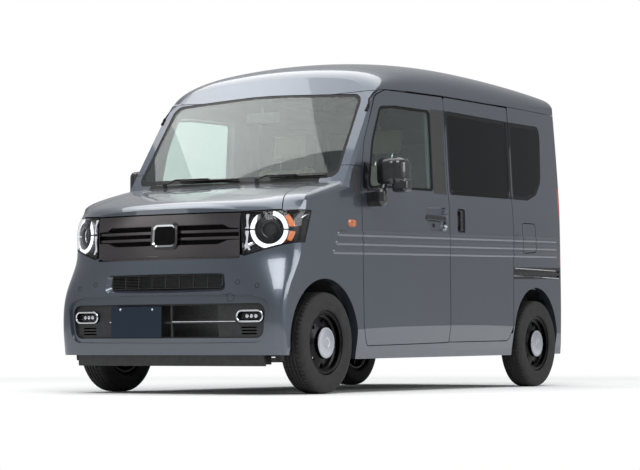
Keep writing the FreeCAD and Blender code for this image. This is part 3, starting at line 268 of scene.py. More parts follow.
PAINT = car_paint()
TRIM = grained_plastic("grained_black_plastic", (0.010, 0.010, 0.011), (0.018, 0.018, 0.019), 0.48)
SATIN = grained_plastic("satin_black_plastic", (0.008, 0.008, 0.009), (0.014, 0.014, 0.015), 0.26, 700, 0.06)
CABIN = grained_plastic("cabin_plastic", (0.020, 0.020, 0.022), (0.034, 0.033, 0.034), 0.62, 1100, 0.4)
UNDERSEAL = grained_plastic("underseal", (0.006, 0.006, 0.007), (0.012, 0.012, 0.013), 0.75, 400, 0.5)
LAMP_BLACK = grained_plastic("lamp_black", (0.003, 0.003, 0.004), (0.006, 0.006, 0.007), 0.35, 900, 0.02, 0.2)
MIRROR_BLACK = gloss_black("mirror_black", (0.006, 0.006, 0.007), (0.010, 0.010, 0.011), 0.22)
MIRROR_GLASS = metal("mirror_glass", (0.55, 0.57, 0.60), (0.60, 0.62, 0.65), 0.04, 6)
PROJECTOR = glass("projector_glass", (0.16, 0.18, 0.22))
GLOSS = gloss_black()
CAVITY = grained_plastic("shadow_black", (0.002, 0.002, 0.002), (0.004, 0.004, 0.004), 0.7, shine=0.08)
SEAL = grained_plastic("rubber_seal", (0.003, 0.003, 0.003), (0.006, 0.006, 0.006), 0.55, 600, 0.2, 0.15)
BLACKOUT = grained_plastic("window_blackout", (0.003, 0.003, 0.0035), (0.005, 0.005, 0.006), 0.3, 800,
                           0.01, 0.22)
PILLAR_FILM = grained_plastic("pillar_film", (0.020, 0.019, 0.020), (0.026, 0.025, 0.026), 0.42, 900, 0.04)
GRILLE = metal("dark_chrome", (0.100, 0.092, 0.094), (0.135, 0.125, 0.127), 0.22, 4, (0.3, 1, 1))
CHROME = metal("bright_chrome", (0.62, 0.63, 0.65), (0.70, 0.71, 0.73), 0.07, 12)
SILVER = metal("silver_paint", (0.50, 0.52, 0.56), (0.58, 0.60, 0.64), 0.34, 1800)
CAST = metal("grey_cast_metal", (0.10, 0.10, 0.10), (0.20, 0.20, 0.20), 0.55, 220)
STEEL = metal("black_painted_steel", (0.012, 0.012, 0.013), (0.02, 0.02, 0.021), 0.25, 60)
CLEAR = glass("clear_lamp_cover", (0.97, 0.98, 1.0), ior=1.22)
SCREEN = glass("green_tint_glass", (0.66, 0.77, 0.73), ior=1.4)
PRIVACY = glass("privacy_glass", (0.008, 0.009, 0.010), ior=1.27)
DOOR_GLASS = glass("door_glass_tint", (0.50, 0.60, 0.57), ior=1.4)
RED_COLOUR, SMOKE_COLOUR = (0.46, 0.006, 0.008), (0.012, 0.006, 0.006)
RED = banded_lamp("red_lens", [(0.0, RED_COLOUR), (0.843, SMOKE_COLOUR), (1.043, RED_COLOUR),
                               (1.258, SMOKE_COLOUR)])
AMBER = ribbed_lens("amber_lens", (0.40, 0.085, 0.004), (0.56, 0.13, 0.008), 240, transmission=0.1)
WHITE_LIGHT = glowing("white_light_guide", (0.93, 0.97, 1.0), 1.25)
RUBBER = rubber()
SEAT_CLOTH = woven_cloth("seat_cloth", (0.22, 0.175, 0.115), (0.33, 0.27, 0.19))
PLATE = metal("plate_paint", (0.030, 0.042, 0.062), (0.038, 0.052, 0.075), 0.42, 900)

FINISHES = {
    "paint": (PAINT, ("roof_panel", "quarter_panel_left", "quarter_panel_right", "front_fender_left",
                      "front_fender_right", "front_bumper", "rear_bumper", "sliding_door_left",
                      "sliding_door_right", "sill_left", "sill_right", "hood", "door_left", "door_right",
                      "tailgate", "fuel_lid", "side_frame_left", "side_frame_right")),
    "underseal": (UNDERSEAL, ("body_shell",)),
    "trim": (TRIM, ("bumper_grilles", "fuel_tank")),
    "rails": (SATIN, ("slide_rails",)),
    "cabin": (CABIN, ("dashboard",)),
    "mirrors": (MIRROR_BLACK, ("mirror_left", "mirror_right")),
    "satin": (SATIN, ("wipers", "door_handle_left", "door_handle_right",
                      "sliding_door_handles", "steering_wheel", "steering_column")),
    "grille": (GRILLE, ("grille",)),
    "lamp": (LAMP_BLACK, ("headlamps", "fog_lamps")),
    "clear": (CLEAR, ("headlamp_lenses",)),
    "light": (WHITE_LIGHT, ("headlamp_rings",)),
    "amber": (AMBER, ("side_markers",)),
    "red": (RED, ("tail_lamps",)),
    "screen": (SCREEN, ("windscreen",)),
    "door_glass": (DOOR_GLASS, ("door_glass_left", "door_glass_right")),
    "privacy": (PRIVACY, ("side_glass", "tailgate_glass")),
    "cast": (CAST, ("engine_block", "exhaust", "front_suspension", "rear_axle", "knuckle_left",
                    "knuckle_right")),
    "cloth": (SEAT_CLOTH, ("front_seats", "rear_seats")),
}
SIDES = ((1, "left"), (-1, "right"))
WHEELS = [f"{end}_{side}" for end in ("front", "rear") for side in ("left", "right")]


FINISHES["rubber"] = (RUBBER, [f"tyre_{wheel}" for wheel in WHEELS])
FINISHES["steel"] = (STEEL, [f"rim_{wheel}" for wheel in WHEELS])

for finish, names in FINISHES.values():
    for name in names:
        nodes[name].data.materials.clear()
        nodes[name].data.materials.append(finish)


# Stage, lights and camera

FADE_FROM, FADE_TO = 2.6, 7.0


def stage():
    """Pale floor that the camera sees turn to the white backdrop far from the van"""
    mesh = bpy.data.meshes.new("studio_floor")
    reach = 60.0
    mesh.from_pydata([(-reach, -reach, 0), (reach, -reach, 0), (reach, reach, 0), (-reach, reach, 0)],
                     [], [(0, 1, 2, 3)])
    floor = put("studio_floor", mesh)
    material, tree, shader = new_material("pale_studio_floor")
    varied_colour(tree, shader, object_noise(tree, 0.8, 3), (0.79, 0.79, 0.785), (0.81, 0.81, 0.805))
    plain(shader, Roughness=0.75)
    place = add(tree, "ShaderNodeTexCoord")
    length = add(tree, "ShaderNodeVectorMath", operation="LENGTH")
    wire(tree, place, "Object", length, 0)
    fade = add(tree, "ShaderNodeMapRange", interpolation_type="SMOOTHSTEP")
    fade.inputs["From Min"].default_value = FADE_FROM
    fade.inputs["From Max"].default_value = FADE_TO
    wire(tree, length, "Value", fade, "Value")
    rays = add(tree, "ShaderNodeLightPath")
    seen = add(tree, "ShaderNodeMath", operation="MULTIPLY")
    wire(tree, fade, "Result", seen, 0)
    wire(tree, rays, "Is Camera Ray", seen, 1)
    white = add(tree, "ShaderNodeEmission", Color=(1, 1, 1, 1), Strength=1.0)
    mix = add(tree, "ShaderNodeMixShader")
    wire(tree, seen, 0, mix, "Fac")
    wire(tree, shader, "BSDF", mix, 1)
    wire(tree, white, "Emission", mix, 2)
    wire(tree, mix, "Shader", tree.nodes["Material Output"], "Surface")
    mesh.materials.append(material)


def world_light():
    world = bpy.data.worlds.new("studio")
    bpy.context.scene.world = world
    world.use_nodes = True
    tree = world.node_tree
    backdrop = tree.nodes["Background"]
    backdrop.inputs["Color"].default_value = (1, 1, 1, 1)
    backdrop.inputs["Strength"].default_value = 1.0
    fill = add(tree, "ShaderNodeBackground", Color=(0.95, 0.97, 1.0, 1), Strength=0.42)
    rays = add(tree, "ShaderNodeLightPath")
    seen = add(tree, "ShaderNodeMath", operation="MAXIMUM")
    wire(tree, rays, "Is Camera Ray", seen, 0)
    wire(tree, rays, "Is Transmission Ray", seen, 1)
    mix = add(tree, "ShaderNodeMixShader")
    wire(tree, seen, 0, mix, "Fac")
    wire(tree, fill, 0, mix, 1)
    wire(tree, backdrop, 0, mix, 2)
    wire(tree, mix, 0, tree.nodes["World Output"], "Surface")


def softbox(name, place, target, size, power):
    lamp = bpy.data.lights.new(name, "AREA")
    lamp.shape = "RECTANGLE"
    lamp.size, lamp.size_y = size
    lamp.energy = power
    holder = put(name, lamp)
    holder.location = place
    holder.rotation_euler = (Vector(target) - Vector(place)).to_track_quat("-Z", "Y").to_euler()


CAMERA_PLACE = Vector((6.572, -10.751, 0.2389))
CAMERA_YAW = math.radians(-31.742)
CAMERA_PITCH = math.radians(3.057)
CAMERA_ROLL = math.radians(-0.08)
SENSOR_WIDTH = 36.0
LENS_PIXELS = 2124.47
PICTURE_WIDTH = 640


def camera():
    data = bpy.data.cameras.new("camera")
    data.sensor_width = SENSOR_WIDTH
    data.lens = LENS_PIXELS / PICTURE_WIDTH * SENSOR_WIDTH
    data.clip_end = 200
    holder = put("camera", data)
    ahead = Vector((math.sin(CAMERA_YAW) * math.cos(CAMERA_PITCH),
                    math.cos(CAMERA_YAW) * math.cos(CAMERA_PITCH), math.sin(CAMERA_PITCH)))
    turn = ahead.to_track_quat("-Z", "Y").to_matrix().to_4x4() @ Matrix.Rotation(CAMERA_ROLL, 4, "Z")
    holder.matrix_world = Matrix.Translation(CAMERA_PLACE) @ turn
    bpy.context.scene.camera = holder


stage()
world_light()
softbox("key_light", (3.5, -5.5, 5.5), (0, -0.5, 0.8), (5.0, 3.0), 330)
softbox("top_light", (-0.8, 0.8, 6.0), (-0.8, 0.8, 0), (9.0, 6.5), 430)
softbox("side_light", (7.0, 1.5, 2.6), (0.4, 0.4, 0.8), (5.0, 2.0), 150)
softbox("front_light", (-4.1, -6.9, 2.3), (-0.2, -1.6, 0.8), (1.5, 1.0), 9)
softbox("screen_light", (-2.3, -2.2, 5.2), (-0.1, -0.9, 1.4), (3.4, 1.6), 36)
camera()
bpy.context.scene.view_settings.view_transform = "Standard"


# Pieces that follow a surface of the frame

_surfaces = {}


def surface(names):
    """Search tree over the meshes of some nodes"""
    if names not in _surfaces:
        points, faces = [], []
        for name in names:
            start = len(points)
            points.extend(v.co.copy() for v in nodes[name].data.vertices)
            faces.extend([start + i for i in p.vertices] for p in nodes[name].data.polygons)
        _surfaces[names] = BVHTree.FromPolygons(points, faces)
    return _surfaces[names]


VIEWS = {"front": ((0, -3, 0), (0, 1, 0)), "left": ((3, 0, 0), (-1, 0, 0)),
         "right": ((-3, 0, 0), (1, 0, 0)), "back": ((0, 3, 0), (0, -1, 0))}
NEAR_HALF, SIDE_REACH = 3.0, 2.3
ACROSS = {"front": (0, 2), "back": (0, 2), "left": (1, 2), "right": (1, 2)}


def drawn(view, a, b):
    """Plane point of a view, from drawing millimetres (across or station, height)"""
    if view in ("front", "back"):
        return Vector((a * MM, 0, b * MM))
    return Vector((0, AXLE_Y + a * MM, b * MM))


def landed(view, point, names):
    """Where a plane point of a view meets the surface, with the normal there"""
    origin, ahead = (Vector(v) for v in VIEWS[view])
    start = Vector(point)
    for axis in range(3):
        if ahead[axis]:
            start[axis] = origin[axis]
    place, normal, _, _ = surface(names).ray_cast(start, ahead, NEAR_HALF)
    if place is None:
        beside = SIDE_REACH if view in ("left", "right") else NEAR_HALF
        place, normal, _, _ = surface(names).find_nearest(start + ahead * beside)
    if normal.dot(ahead) > 0:
        normal = -normal
    return place, normal


def rounded(corners, steps=6):
    """Outline with rounded corners from (across, up, radius) rows, in drawing millimetres"""
    points = []
    count = len(corners)
    for i, (a, b, radius) in enumerate(corners):
        corner = Vector((a, b))
        before = Vector(corners[i - 1][:2]) - corner
        after = Vector(corners[(i + 1) % count][:2]) - corner
        if radius <= 0 or before.length < 1e-6 or after.length < 1e-6:
            points.append(corner)
            continue
        half = before.angle(after) / 2
        reach = min(radius / math.tan(half), before.length * 0.49, after.length * 0.49)
        centre_gap = reach * math.tan(half)
        centre = corner + (before.normalized() + after.normalized()).normalized() * math.hypot(
            reach, centre_gap)
        first = corner + before.normalized() * reach - centre
        last = corner + after.normalized() * reach - centre
        turn = first.angle_signed(last)
        for k in range(steps + 1):
            points.append(centre + first @ Matrix.Rotation(turn * k / steps, 2))
    return points


def finish_piece(name, mesh, body, material, smooth=True):
    piece = put(name, mesh)
    mesh.materials.append(material)
    if smooth:
        mesh.polygons.foreach_set("use_smooth", [True] * len(mesh.polygons))
        mesh.set_sharp_from_angle(angle=math.radians(35))
    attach(piece, body)
    return piece


def joined(rings, rows, rings_closed=True, rows_closed=False):
    """Faces between rings of points that all have the same number of rows"""
    faces = []
    for k in range(rings if rings_closed else rings - 1):
        a, b = k * rows, (k + 1) % rings * rows
        for i in range(rows if rows_closed else rows - 1):
            n = (i + 1) % rows
            faces.append([a + i, a + n, b + n, b + i])
    return faces


def clean_mesh(name, verts, faces, welded=False):
    """Mesh with its faces turned outwards, its doubled points welded where a form is revolved"""
    made = bpy.data.meshes.new(name)
    made.from_pydata(verts, [], faces)
    tidy = bmesh.new()
    tidy.from_mesh(made)
    if welded:
        bmesh.ops.remove_doubles(tidy, verts=tidy.verts, dist=1e-6)
        bmesh.ops.dissolve_degenerate(tidy, dist=1e-7, edges=tidy.edges)
    bmesh.ops.recalc_face_normals(tidy, faces=tidy.faces)
    tidy.to_mesh(made)
    tidy.free()
    return made


def pushed_out(made, faces, way):
    """Close a bmesh by pushing faces out along a way"""
    pushed = bmesh.ops.extrude_face_region(made, geom=faces)
    moved = [v for v in pushed["geom"] if isinstance(v, bmesh.types.BMVert)]
    bmesh.ops.translate(made, verts=moved, vec=way)
    bmesh.ops.recalc_face_normals(made, faces=made.faces)


def as_mesh(made, name):
    mesh = bpy.data.meshes.new(name)
    made.to_mesh(mesh)
    made.free()
    return mesh


def gridded(outline, view, step):
    """Flat face cut into cells no larger than a step, as a bmesh in the view's plane"""
    cells = bmesh.new()
    cells.faces.new([cells.verts.new(drawn(view, p[0], p[1])) for p in outline])
    for axis in ACROSS[view]:
        values = [v.co[axis] for v in cells.verts]
        low, high = min(values), max(values)
        count = max(1, math.ceil((high - low) / step))
        normal = Vector([1.0 if k == axis else 0.0 for k in range(3)])
        for i in range(1, count):
            cut = normal * (low + (high - low) * i / count)
            bmesh.ops.bisect_plane(cells, geom=cells.verts[:] + cells.edges[:] + cells.faces[:],
                                   plane_co=cut, plane_no=normal, dist=1e-6)
    return cells


def wrapped_plate(name, outline, view, on, material, slot="black_trim", body="root", lift=1.0, thick=2.0,
                  step=25.0, crown=0.0):
    """Plate that follows a surface: its face stands lift above it, its back lies thick below its face"""
    cells = gridded(outline, view, step * MM)
    middle = sum((v.co for v in cells.verts), Vector()) / len(cells.verts)
    spread = max((v.co - middle).length for v in cells.verts)
    cells.verts.index_update()
    faces = [[v.index for v in f.verts] for f in cells.faces]
    edges = [[v.index for v in e.verts] for e in cells.edges if e.is_boundary]
    top, under = [], []
    for v in cells.verts:
        place, normal = landed(view, v.co, on)
        rise = crown * (1 - ((v.co - middle).length / spread) ** 2)
        top.append(place + normal * (lift + rise) * MM)
        under.append(place + normal * (lift - thick) * MM)
    cells.free()
    count = len(top)
    backs = [[i + count for i in reversed(f)] for f in faces]
    walls = [[a, b, b + count, a + count] for a, b in edges]
    return finish_piece(name, clean_mesh(name, top + under, faces + backs + walls), body, material)


def tube_along(name, points, radius, up, material, slot="black_trim", body="root", sides=10, closed=False,
               flat=1.0):
    """Round or flattened bead that follows a line of points"""
    rings = []
    count = len(points)
    for i, point in enumerate(points):
        before = points[i - 1] if (i or closed) else point
        after = points[(i + 1) % count] if (i < count - 1 or closed) else point
        ahead = (after - before).normalized()
        side = ahead.cross(up[i]).normalized()
        outward = side.cross(ahead).normalized()
        rings.append([point + side * math.cos(2 * math.pi * k / sides) * radius
                      + outward * math.sin(2 * math.pi * k / sides) * radius * flat
                      for k in range(sides)])
    verts = [v for ring in rings for v in ring]
    faces = joined(count, sides, closed, True)
    if not closed:
        faces.append(list(range(sides))[::-1])
        faces.append([(count - 1) * sides + k for k in range(sides)])
    return finish_piece(name, clean_mesh(name, verts, faces), body, material)


def revolved(name, profile, centre, axis, material, steps, body="root"):
    """Ring or disc turned about an axis from (along, radius) rows, in millimetres"""
    axis = Vector(axis).normalized()
    first = axis.orthogonal().normalized()
    second = axis.cross(first)
    verts = []
    for k in range(steps):
        turn = 2 * math.pi * k / steps
        out = first * math.cos(turn) + second * math.sin(turn)
        verts.extend(centre + (axis * along + out * radius) * MM for along, radius in profile)
    made = clean_mesh(name, verts, joined(steps, len(profile)), welded=True)
    return finish_piece(name, made, body, material)


def mirror_rows(rows):
    """The same outline on the van's other side"""
    return [(-row[0], *row[1:]) for row in reversed(rows)]


def both_sides(make, name, rows, **options):
    """One front or rear piece and its mirror image"""
    make(f"{name}_left", rows, **options)
    make(f"{name}_right", mirror_rows(rows), **options)


def plate_from(name, rows, **options):
    wrapped_plate(name, rounded(rows), **options)


def wrapped_band(name, outer, inner, view, on, material, lift, thick, body="root",
                 step=30.0):
    """Closed band between two outlines with the same number of corners, laid on a surface"""
    loops = [rounded(rows) for rows in (outer, inner)]
    dense = [[], []]
    count = len(loops[0])
    for i in range(count):
        a0, a1 = loops[0][i], loops[0][(i + 1) % count]
        b0, b1 = loops[1][i], loops[1][(i + 1) % count]
        cuts = max(1, math.ceil((a1 - a0).length / step))
        for k in range(cuts):
            dense[0].append(a0.lerp(a1, k / cuts))
            dense[1].append(b0.lerp(b1, k / cuts))
    count = len(dense[0])
    layers = []
    for height in (lift, lift - thick):
        for loop in dense:
            row = []
            for p in loop:
                place, normal = landed(view, drawn(view, *p), on)
                row.append(place + normal * height * MM)
            layers.append(row)
    verts = [v for layer in layers for v in layer]
    faces = []
    for i in range(count):
        n = (i + 1) % count
        top_out, top_in, low_out, low_in = (k * count for k in range(4))
        faces.append([top_out + i, top_out + n, top_in + n, top_in + i])
        faces.append([low_in + i, low_in + n, low_out + n, low_out + i])
        faces.append([low_out + i, low_out + n, top_out + n, top_out + i])
        faces.append([top_in + i, top_in + n, low_in + n, low_in + i])
    return finish_piece(name, clean_mesh(name, verts, faces), body, material)


def surface_line(rows, view, on, lift, step, closed):
    """Points a step apart along an outline laid on a surface, and the normals there"""
    outline = rounded(rows) if closed else [Vector(p) for p in rows]
    points, normals = [], []
    count = len(outline)
    for i in range(count if closed else count - 1):
        a, b = outline[i], outline[(i + 1) % count]
        cuts = max(1, math.ceil((b - a).length / step))
        for k in range(cuts):
            place, normal = landed(view, drawn(view, *a.lerp(b, k / cuts)), on)
            points.append(place + normal * lift * MM)
            normals.append(normal)
    if not closed:
        place, normal = landed(view, drawn(view, *outline[-1]), on)
        points.append(place + normal * lift * MM)
        normals.append(normal)
    return points, normals


def bead(name, rows, view, on, lift, step, closed=False, **tube):
    """Bead laid on a surface along an outline or an open line"""
    points, normals = surface_line(rows, view, on, lift, step, closed)
    tube_along(name, points, up=normals, closed=closed, **tube)


# Grille

FACE = ("grille",)
SLOT_HALVES = {
    "upper": [(92, 857.5, 0), (451, 857.5, 0), (451, 861, 1), (391, 864.5, 4), (358, 882.5, 5), (92, 882.5, 0)],
    "middle": [(92, 821.5, 0), (451, 821.5, 0), (451, 841.5, 0), (92, 841.5, 0)],
    "lower": [(92, 781.5, 0), (330, 781.5, 5), (386, 801, 4), (451, 803.5, 1), (451, 805.5, 0), (92, 805.5, 0)],
}
UNDER_STRIP = [(-454, 703, 0), (454, 703, 0), (454, 724, 0), (-454, 724, 0)]
BADGE_OUTER = [(-86, 762, 36), (86, 762, 36), (82, 901, 36), (-82, 901, 36)]
BADGE_TRIM = [(-75, 773, 30), (75, 773, 30), (71, 890, 30), (-71, 890, 30)]
BADGE_FIELD = [(-66, 782, 23), (66, 782, 23), (63, 881, 23), (-63, 881, 23)]


def grille_details():
    for name, rows in SLOT_HALVES.items():
        both_sides(plate_from, f"grille_slot_{name}", rows, view="front", on=FACE, material=CAVITY, lift=0.8)
    plate_from("grille_under_strip", UNDER_STRIP, view="front", on=FACE, material=GLOSS, lift=0.8)
    wrapped_band("badge_frame", BADGE_OUTER, BADGE_TRIM, "front", FACE, GLOSS, 2.0, 3)
    wrapped_band("badge_trim", BADGE_TRIM, BADGE_FIELD, "front", FACE, CHROME, 3.2, 4)
    plate_from("badge_field", BADGE_FIELD, view="front", on=FACE, material=CAVITY, lift=0.6, crown=1.2)


# Headlamps

LENS = ("headlamp_lenses",)
RING_X, RING_Z = 576, 852
RING_TURN = math.radians(25)
RING_STATION = -323
RING_AXIS = Vector((math.sin(RING_TURN), -math.cos(RING_TURN), 0))
RING_OUTBOARD = Vector((math.cos(RING_TURN), math.sin(RING_TURN), 0))


def lamp_point(angle, radius, sink):
    """Place behind the clear cover, at an angle up from outboard round the lamp ring"""
    turn = math.radians(angle)
    flat = at(RING_X, RING_STATION, RING_Z) + (
        RING_OUTBOARD * math.cos(turn) + Vector((0, 0, 1)) * math.sin(turn)) * radius * MM
    place = surface(LENS).ray_cast(flat + RING_AXIS * 0.3, -RING_AXIS)[0]
    return (place or flat) - RING_AXIS * sink * MM


def ring_piece(name, angles, radii, sink, thick, material, steps=12):
    """Part of a ring behind each lamp's cover; radii are (inner, outer) at the first and last angle"""
    for side, word in SIDES:
        verts = []
        for k in range(steps + 1):
            share = k / steps
            angle = angles[0] + (angles[1] - angles[0]) * share
            inner = radii[0][0] + (radii[1][0] - radii[0][0]) * share
            outer = radii[0][1] + (radii[1][1] - radii[0][1]) * share
            for radius, deep in ((inner, 0), (outer, 0), (outer, thick), (inner, thick)):
                place = lamp_point(angle, radius, sink + deep)
                verts.append(Vector((side * place.x, place.y, place.z)))
        faces = joined(steps + 1, 4, rings_closed=False, rows_closed=True)
        faces += [[0, 1, 2, 3], [4 * steps + i for i in (3, 2, 1, 0)]]
        finish_piece(f"{name}_{word}", clean_mesh(name, verts, faces), "root", material)


LAMP_STRIP_UPPER = [(478, 858, 2), (490, 868, 8), (488, 900, 40), (480, 936, 3), (500, 938, 3), (498, 900, 40),
                    (502, 868, 8), (506, 858, 2)]
LAMP_STRIP_LOWER = [(482, 846, 2), (503, 846, 2), (497, 800, 40), (496, 776, 12), (512, 748, 2), (500, 745, 2),
                    (488, 766, 6), (474, 742, 2), (464, 746, 2), (482, 780, 12), (488, 806, 40)]
PROJECTOR_RING = [(0.5, 44), (3, 43.5), (4, 41), (2, 38.5), (0.5, 38)]
PROJECTOR_DOME = [(-2, 0.01), (6, 0.01), (5.4, 12), (3.6, 24), (0.6, 34), (-2, 36)]


def headlamp_details():
    ring_piece("lamp_amber_upper", (8, 40), ((103, 133), (103, 126)), 11, 4, AMBER)
    ring_piece("lamp_amber_lower", (-47, -4), ((104, 120), (103, 133)), 11, 4, AMBER)
    for name, rows in {"upper": LAMP_STRIP_UPPER, "lower": LAMP_STRIP_LOWER}.items():
        both_sides(plate_from, f"lamp_bright_strip_{name}", rows, view="front", on=LENS, material=CHROME,
                   slot="dark_chrome", lift=-11, thick=3, step=8, crown=1.5)
    for side, word in SIDES:
        axis = Vector((side * RING_AXIS.x, RING_AXIS.y, 0))
        centre = at(side * RING_X, RING_STATION, RING_Z)
        place, _, _, _ = surface(("headlamps",)).ray_cast(centre + axis * 0.3, -axis)
        revolved(f"lamp_projector_{word}", PROJECTOR_RING, place, axis, CHROME, 48)
        revolved(f"lamp_projector_glass_{word}", PROJECTOR_DOME, place, axis, PROJECTOR, 48)


# Bumper: sensors, tow cover, plate, fog lamp rings, bright bar

BUMPER = ("front_bumper",)
INSERT = ("bumper_grilles", "fog_lamps")
SENSORS = [(459, 581), (573, 562)]
TOW_COVER = [(394, 484, 12), (434, 484, 12), (434, 522, 12), (394, 522, 12)]
FOG_OUT = [(450, 378, 28), (602, 378, 28), (602, 434, 28), (450, 434, 28)]
FOG_LEDS = (500, 526, 552)
FOG_LED_Z = 406
MOUTH_BAR, MOUTH_BAR_SHORT, MOUTH_BAR_Z = (44, 436), (-372, -344), 380
FOG_LENS = [(462, 390, 18), (590, 390, 18), (590, 422, 18), (462, 422, 18)]
SENSOR_RING = [(-2, 11.5), (0.5, 13), (0.9, 12), (0.3, 10.8), (-2, 10.6)]
SENSOR_FACE = [(-1, 0.01), (0.7, 0.01), (0.8, 5), (0.5, 9.6), (-0.6, 10.4), (-1, 10)]
FOG_LED = [(-1, 0.01), (0.2, 0.01), (0.3, 6), (0.6, 9), (-0.6, 10.5), (-1, 10)]
PLATE_X0, PLATE_X1, PLATE_Z0, PLATE_Z1 = -342, -12, 296, 461
PLATE_STATION, PLATE_CORNER = -471, 8
PLATE_RIM, PLATE_STEP, PLATE_RAISED, PLATE_THICK = 0.004, 0.0012, 0.001, 0.0015
PLATE_SCREWS, PLATE_SCREW_UP = {"left": 105, "right": -105}, 66
SCREW = [(-3, 0.01), (0.4, 0.01), (0.4, 2), (1.6, 2.2), (1.9, 5), (0.6, 6.2), (-1, 6.4)]


def bumper_details():
    for x, z in SENSORS:
        for side, word in SIDES:
            place, normal = landed("front", drawn("front", side * x, z), BUMPER)
            revolved(f"sensor_ring_{word}_{x}", SENSOR_RING, place, normal, SEAL, 32)
            revolved(f"sensor_face_{word}_{x}", SENSOR_FACE, place, normal, PAINT, 32)
    bead("tow_cover_seam", TOW_COVER, "front", BUMPER, 0.0, 5, closed=True, radius=0.0011, material=SEAL,
         sides=6)
    for side, word in SIDES:
        rows = FOG_OUT if side > 0 else mirror_rows(FOG_OUT)
        bead(f"fog_ring_{word}", rows, "front", INSERT, 3.0, 6, closed=True, radius=0.0055, material=CHROME,
             slot="dark_chrome", sides=12)
        rows = FOG_LENS if side > 0 else mirror_rows(FOG_LENS)
        plate_from(f"fog_lens_{word}", rows, view="front", on=INSERT, material=CLEAR, slot="clear_lens",
                   lift=3, thick=2.5, crown=2)
        for k, x in enumerate(FOG_LEDS):
            place, normal = landed("front", drawn("front", side * x, FOG_LED_Z), INSERT)
            revolved(f"fog_led_{word}_{k}", FOG_LED, place, normal, CHROME, 32)
        bar = MOUTH_BAR if side > 0 else MOUTH_BAR_SHORT
        bead(f"mouth_bar_{word}", [(x, MOUTH_BAR_Z) for x in bar], "front", ("bumper_grilles",), 2.0, 20,
             radius=0.0035, material=CHROME, slot="dark_chrome", sides=8)


def number_plate():
    """Blank plate in its frame, with two screws"""
    centre = at((PLATE_X0 + PLATE_X1) / 2, PLATE_STATION, (PLATE_Z0 + PLATE_Z1) / 2)
    half_w, half_h = (PLATE_X1 - PLATE_X0) / 2, (PLATE_Z1 - PLATE_Z0) / 2
    made = bmesh.new()
    rows = rounded([(a * half_w, b * half_h, PLATE_CORNER) for a, b in ((-1, -1), (1, -1), (1, 1), (-1, 1))], 4)
    face = made.faces.new([made.verts.new((p.x * MM, 0, p.y * MM)) for p in rows])
    bmesh.ops.inset_region(made, faces=[face], thickness=PLATE_RIM)
    bmesh.ops.inset_region(made, faces=[face], thickness=PLATE_STEP, depth=-PLATE_RAISED)
    pushed_out(made, made.faces[:], (0, PLATE_THICK, 0))
    mesh = as_mesh(made, "number_plate_blank")
    mesh.transform(Matrix.Translation(centre))
    finish_piece("number_plate_blank", mesh, "root", PLATE, smooth=False)
    for word in ("right", "left"):
        place = centre + Vector((PLATE_SCREWS[word], 0, PLATE_SCREW_UP)) * MM
        revolved(f"plate_screw_{word}", SCREW, place, (0, -1, 0), CHROME, 24)


# Windows: black borders and seals

SCREEN_OUT = [(-660, 1163, 42), (0, 1153, 3000), (660, 1163, 42), (629, 1641, 56), (0, 1666, 3000),
              (-629, 1641, 56)]
SCREEN_IN = [(-645, 1188, 36), (0, 1178, 3000), (645, 1188, 36), (614, 1628, 46), (0, 1655, 3000),
             (-614, 1628, 46)]
FRONT_WINDOW = [(424, 1102, 30), (560, 1121, 200), (1170, 1139, 28), (1172, 1608, 28), (769, 1598, 300),
                (592, 1580, 60), (489, 1379, 300)]
FRONT_WINDOW_IN = [(452, 1122, 24), (562, 1136, 180), (1150, 1153, 20), (1152, 1592, 20), (770, 1582, 300),
                   (606, 1565, 50), (512, 1376, 280)]
SLIDE_WINDOW = [(1368, 1132, 25), (2143, 1152, 14), (2140, 1630, 14), (1362, 1624, 25)]
SLIDE_WINDOW_IN = [(1394, 1158, 25), (2122, 1176, 14), (2120, 1606, 14), (1388, 1600, 25)]
QUARTER_WINDOW = [(2194, 1153, 14), (2400, 1158, 120), (2530, 1200, 70), (2604, 1285, 70), (2625, 1557, 200),
                  (2606, 1638, 45), (2192, 1631, 14)]
QUARTER_WINDOW_IN = [(2214, 1177, 10), (2392, 1182, 100), (2512, 1220, 60), (2580, 1294, 60), (2600, 1550, 180),
                     (2584, 1614, 35), (2212, 1607, 10)]


def inset_rows(rows, gap):
    """Rows of an outline with each corner moved towards the middle by a gap"""
    middle = Vector((sum(r[0] for r in rows), sum(r[1] for r in rows))) / len(rows)
    moved = []
    for a, b, radius in rows:
        to_middle = (middle - Vector((a, b))).normalized() * gap
        moved.append((a + to_middle.x, b + to_middle.y, radius))
    return moved


def window_details():
    wrapped_band("windscreen_border", SCREEN_OUT, SCREEN_IN, "front", ("windscreen",), BLACKOUT, 0.25, 0.5)
    for side in ("left", "right"):
        wrapped_band(f"door_window_seal_{side}", inset_rows(FRONT_WINDOW, 2), FRONT_WINDOW_IN, side,
                     (f"door_glass_{side}",), SEAL, 2.2, 3, body=f"door_{side}")
        for name, outer, inner in (("slide", SLIDE_WINDOW, SLIDE_WINDOW_IN),
                                   ("quarter", QUARTER_WINDOW, QUARTER_WINDOW_IN)):
            wrapped_band(f"{name}_window_border_{side}", inset_rows(outer, 0.5), inner, side, ("side_glass",),
                         BLACKOUT, 0.4, 0.8)


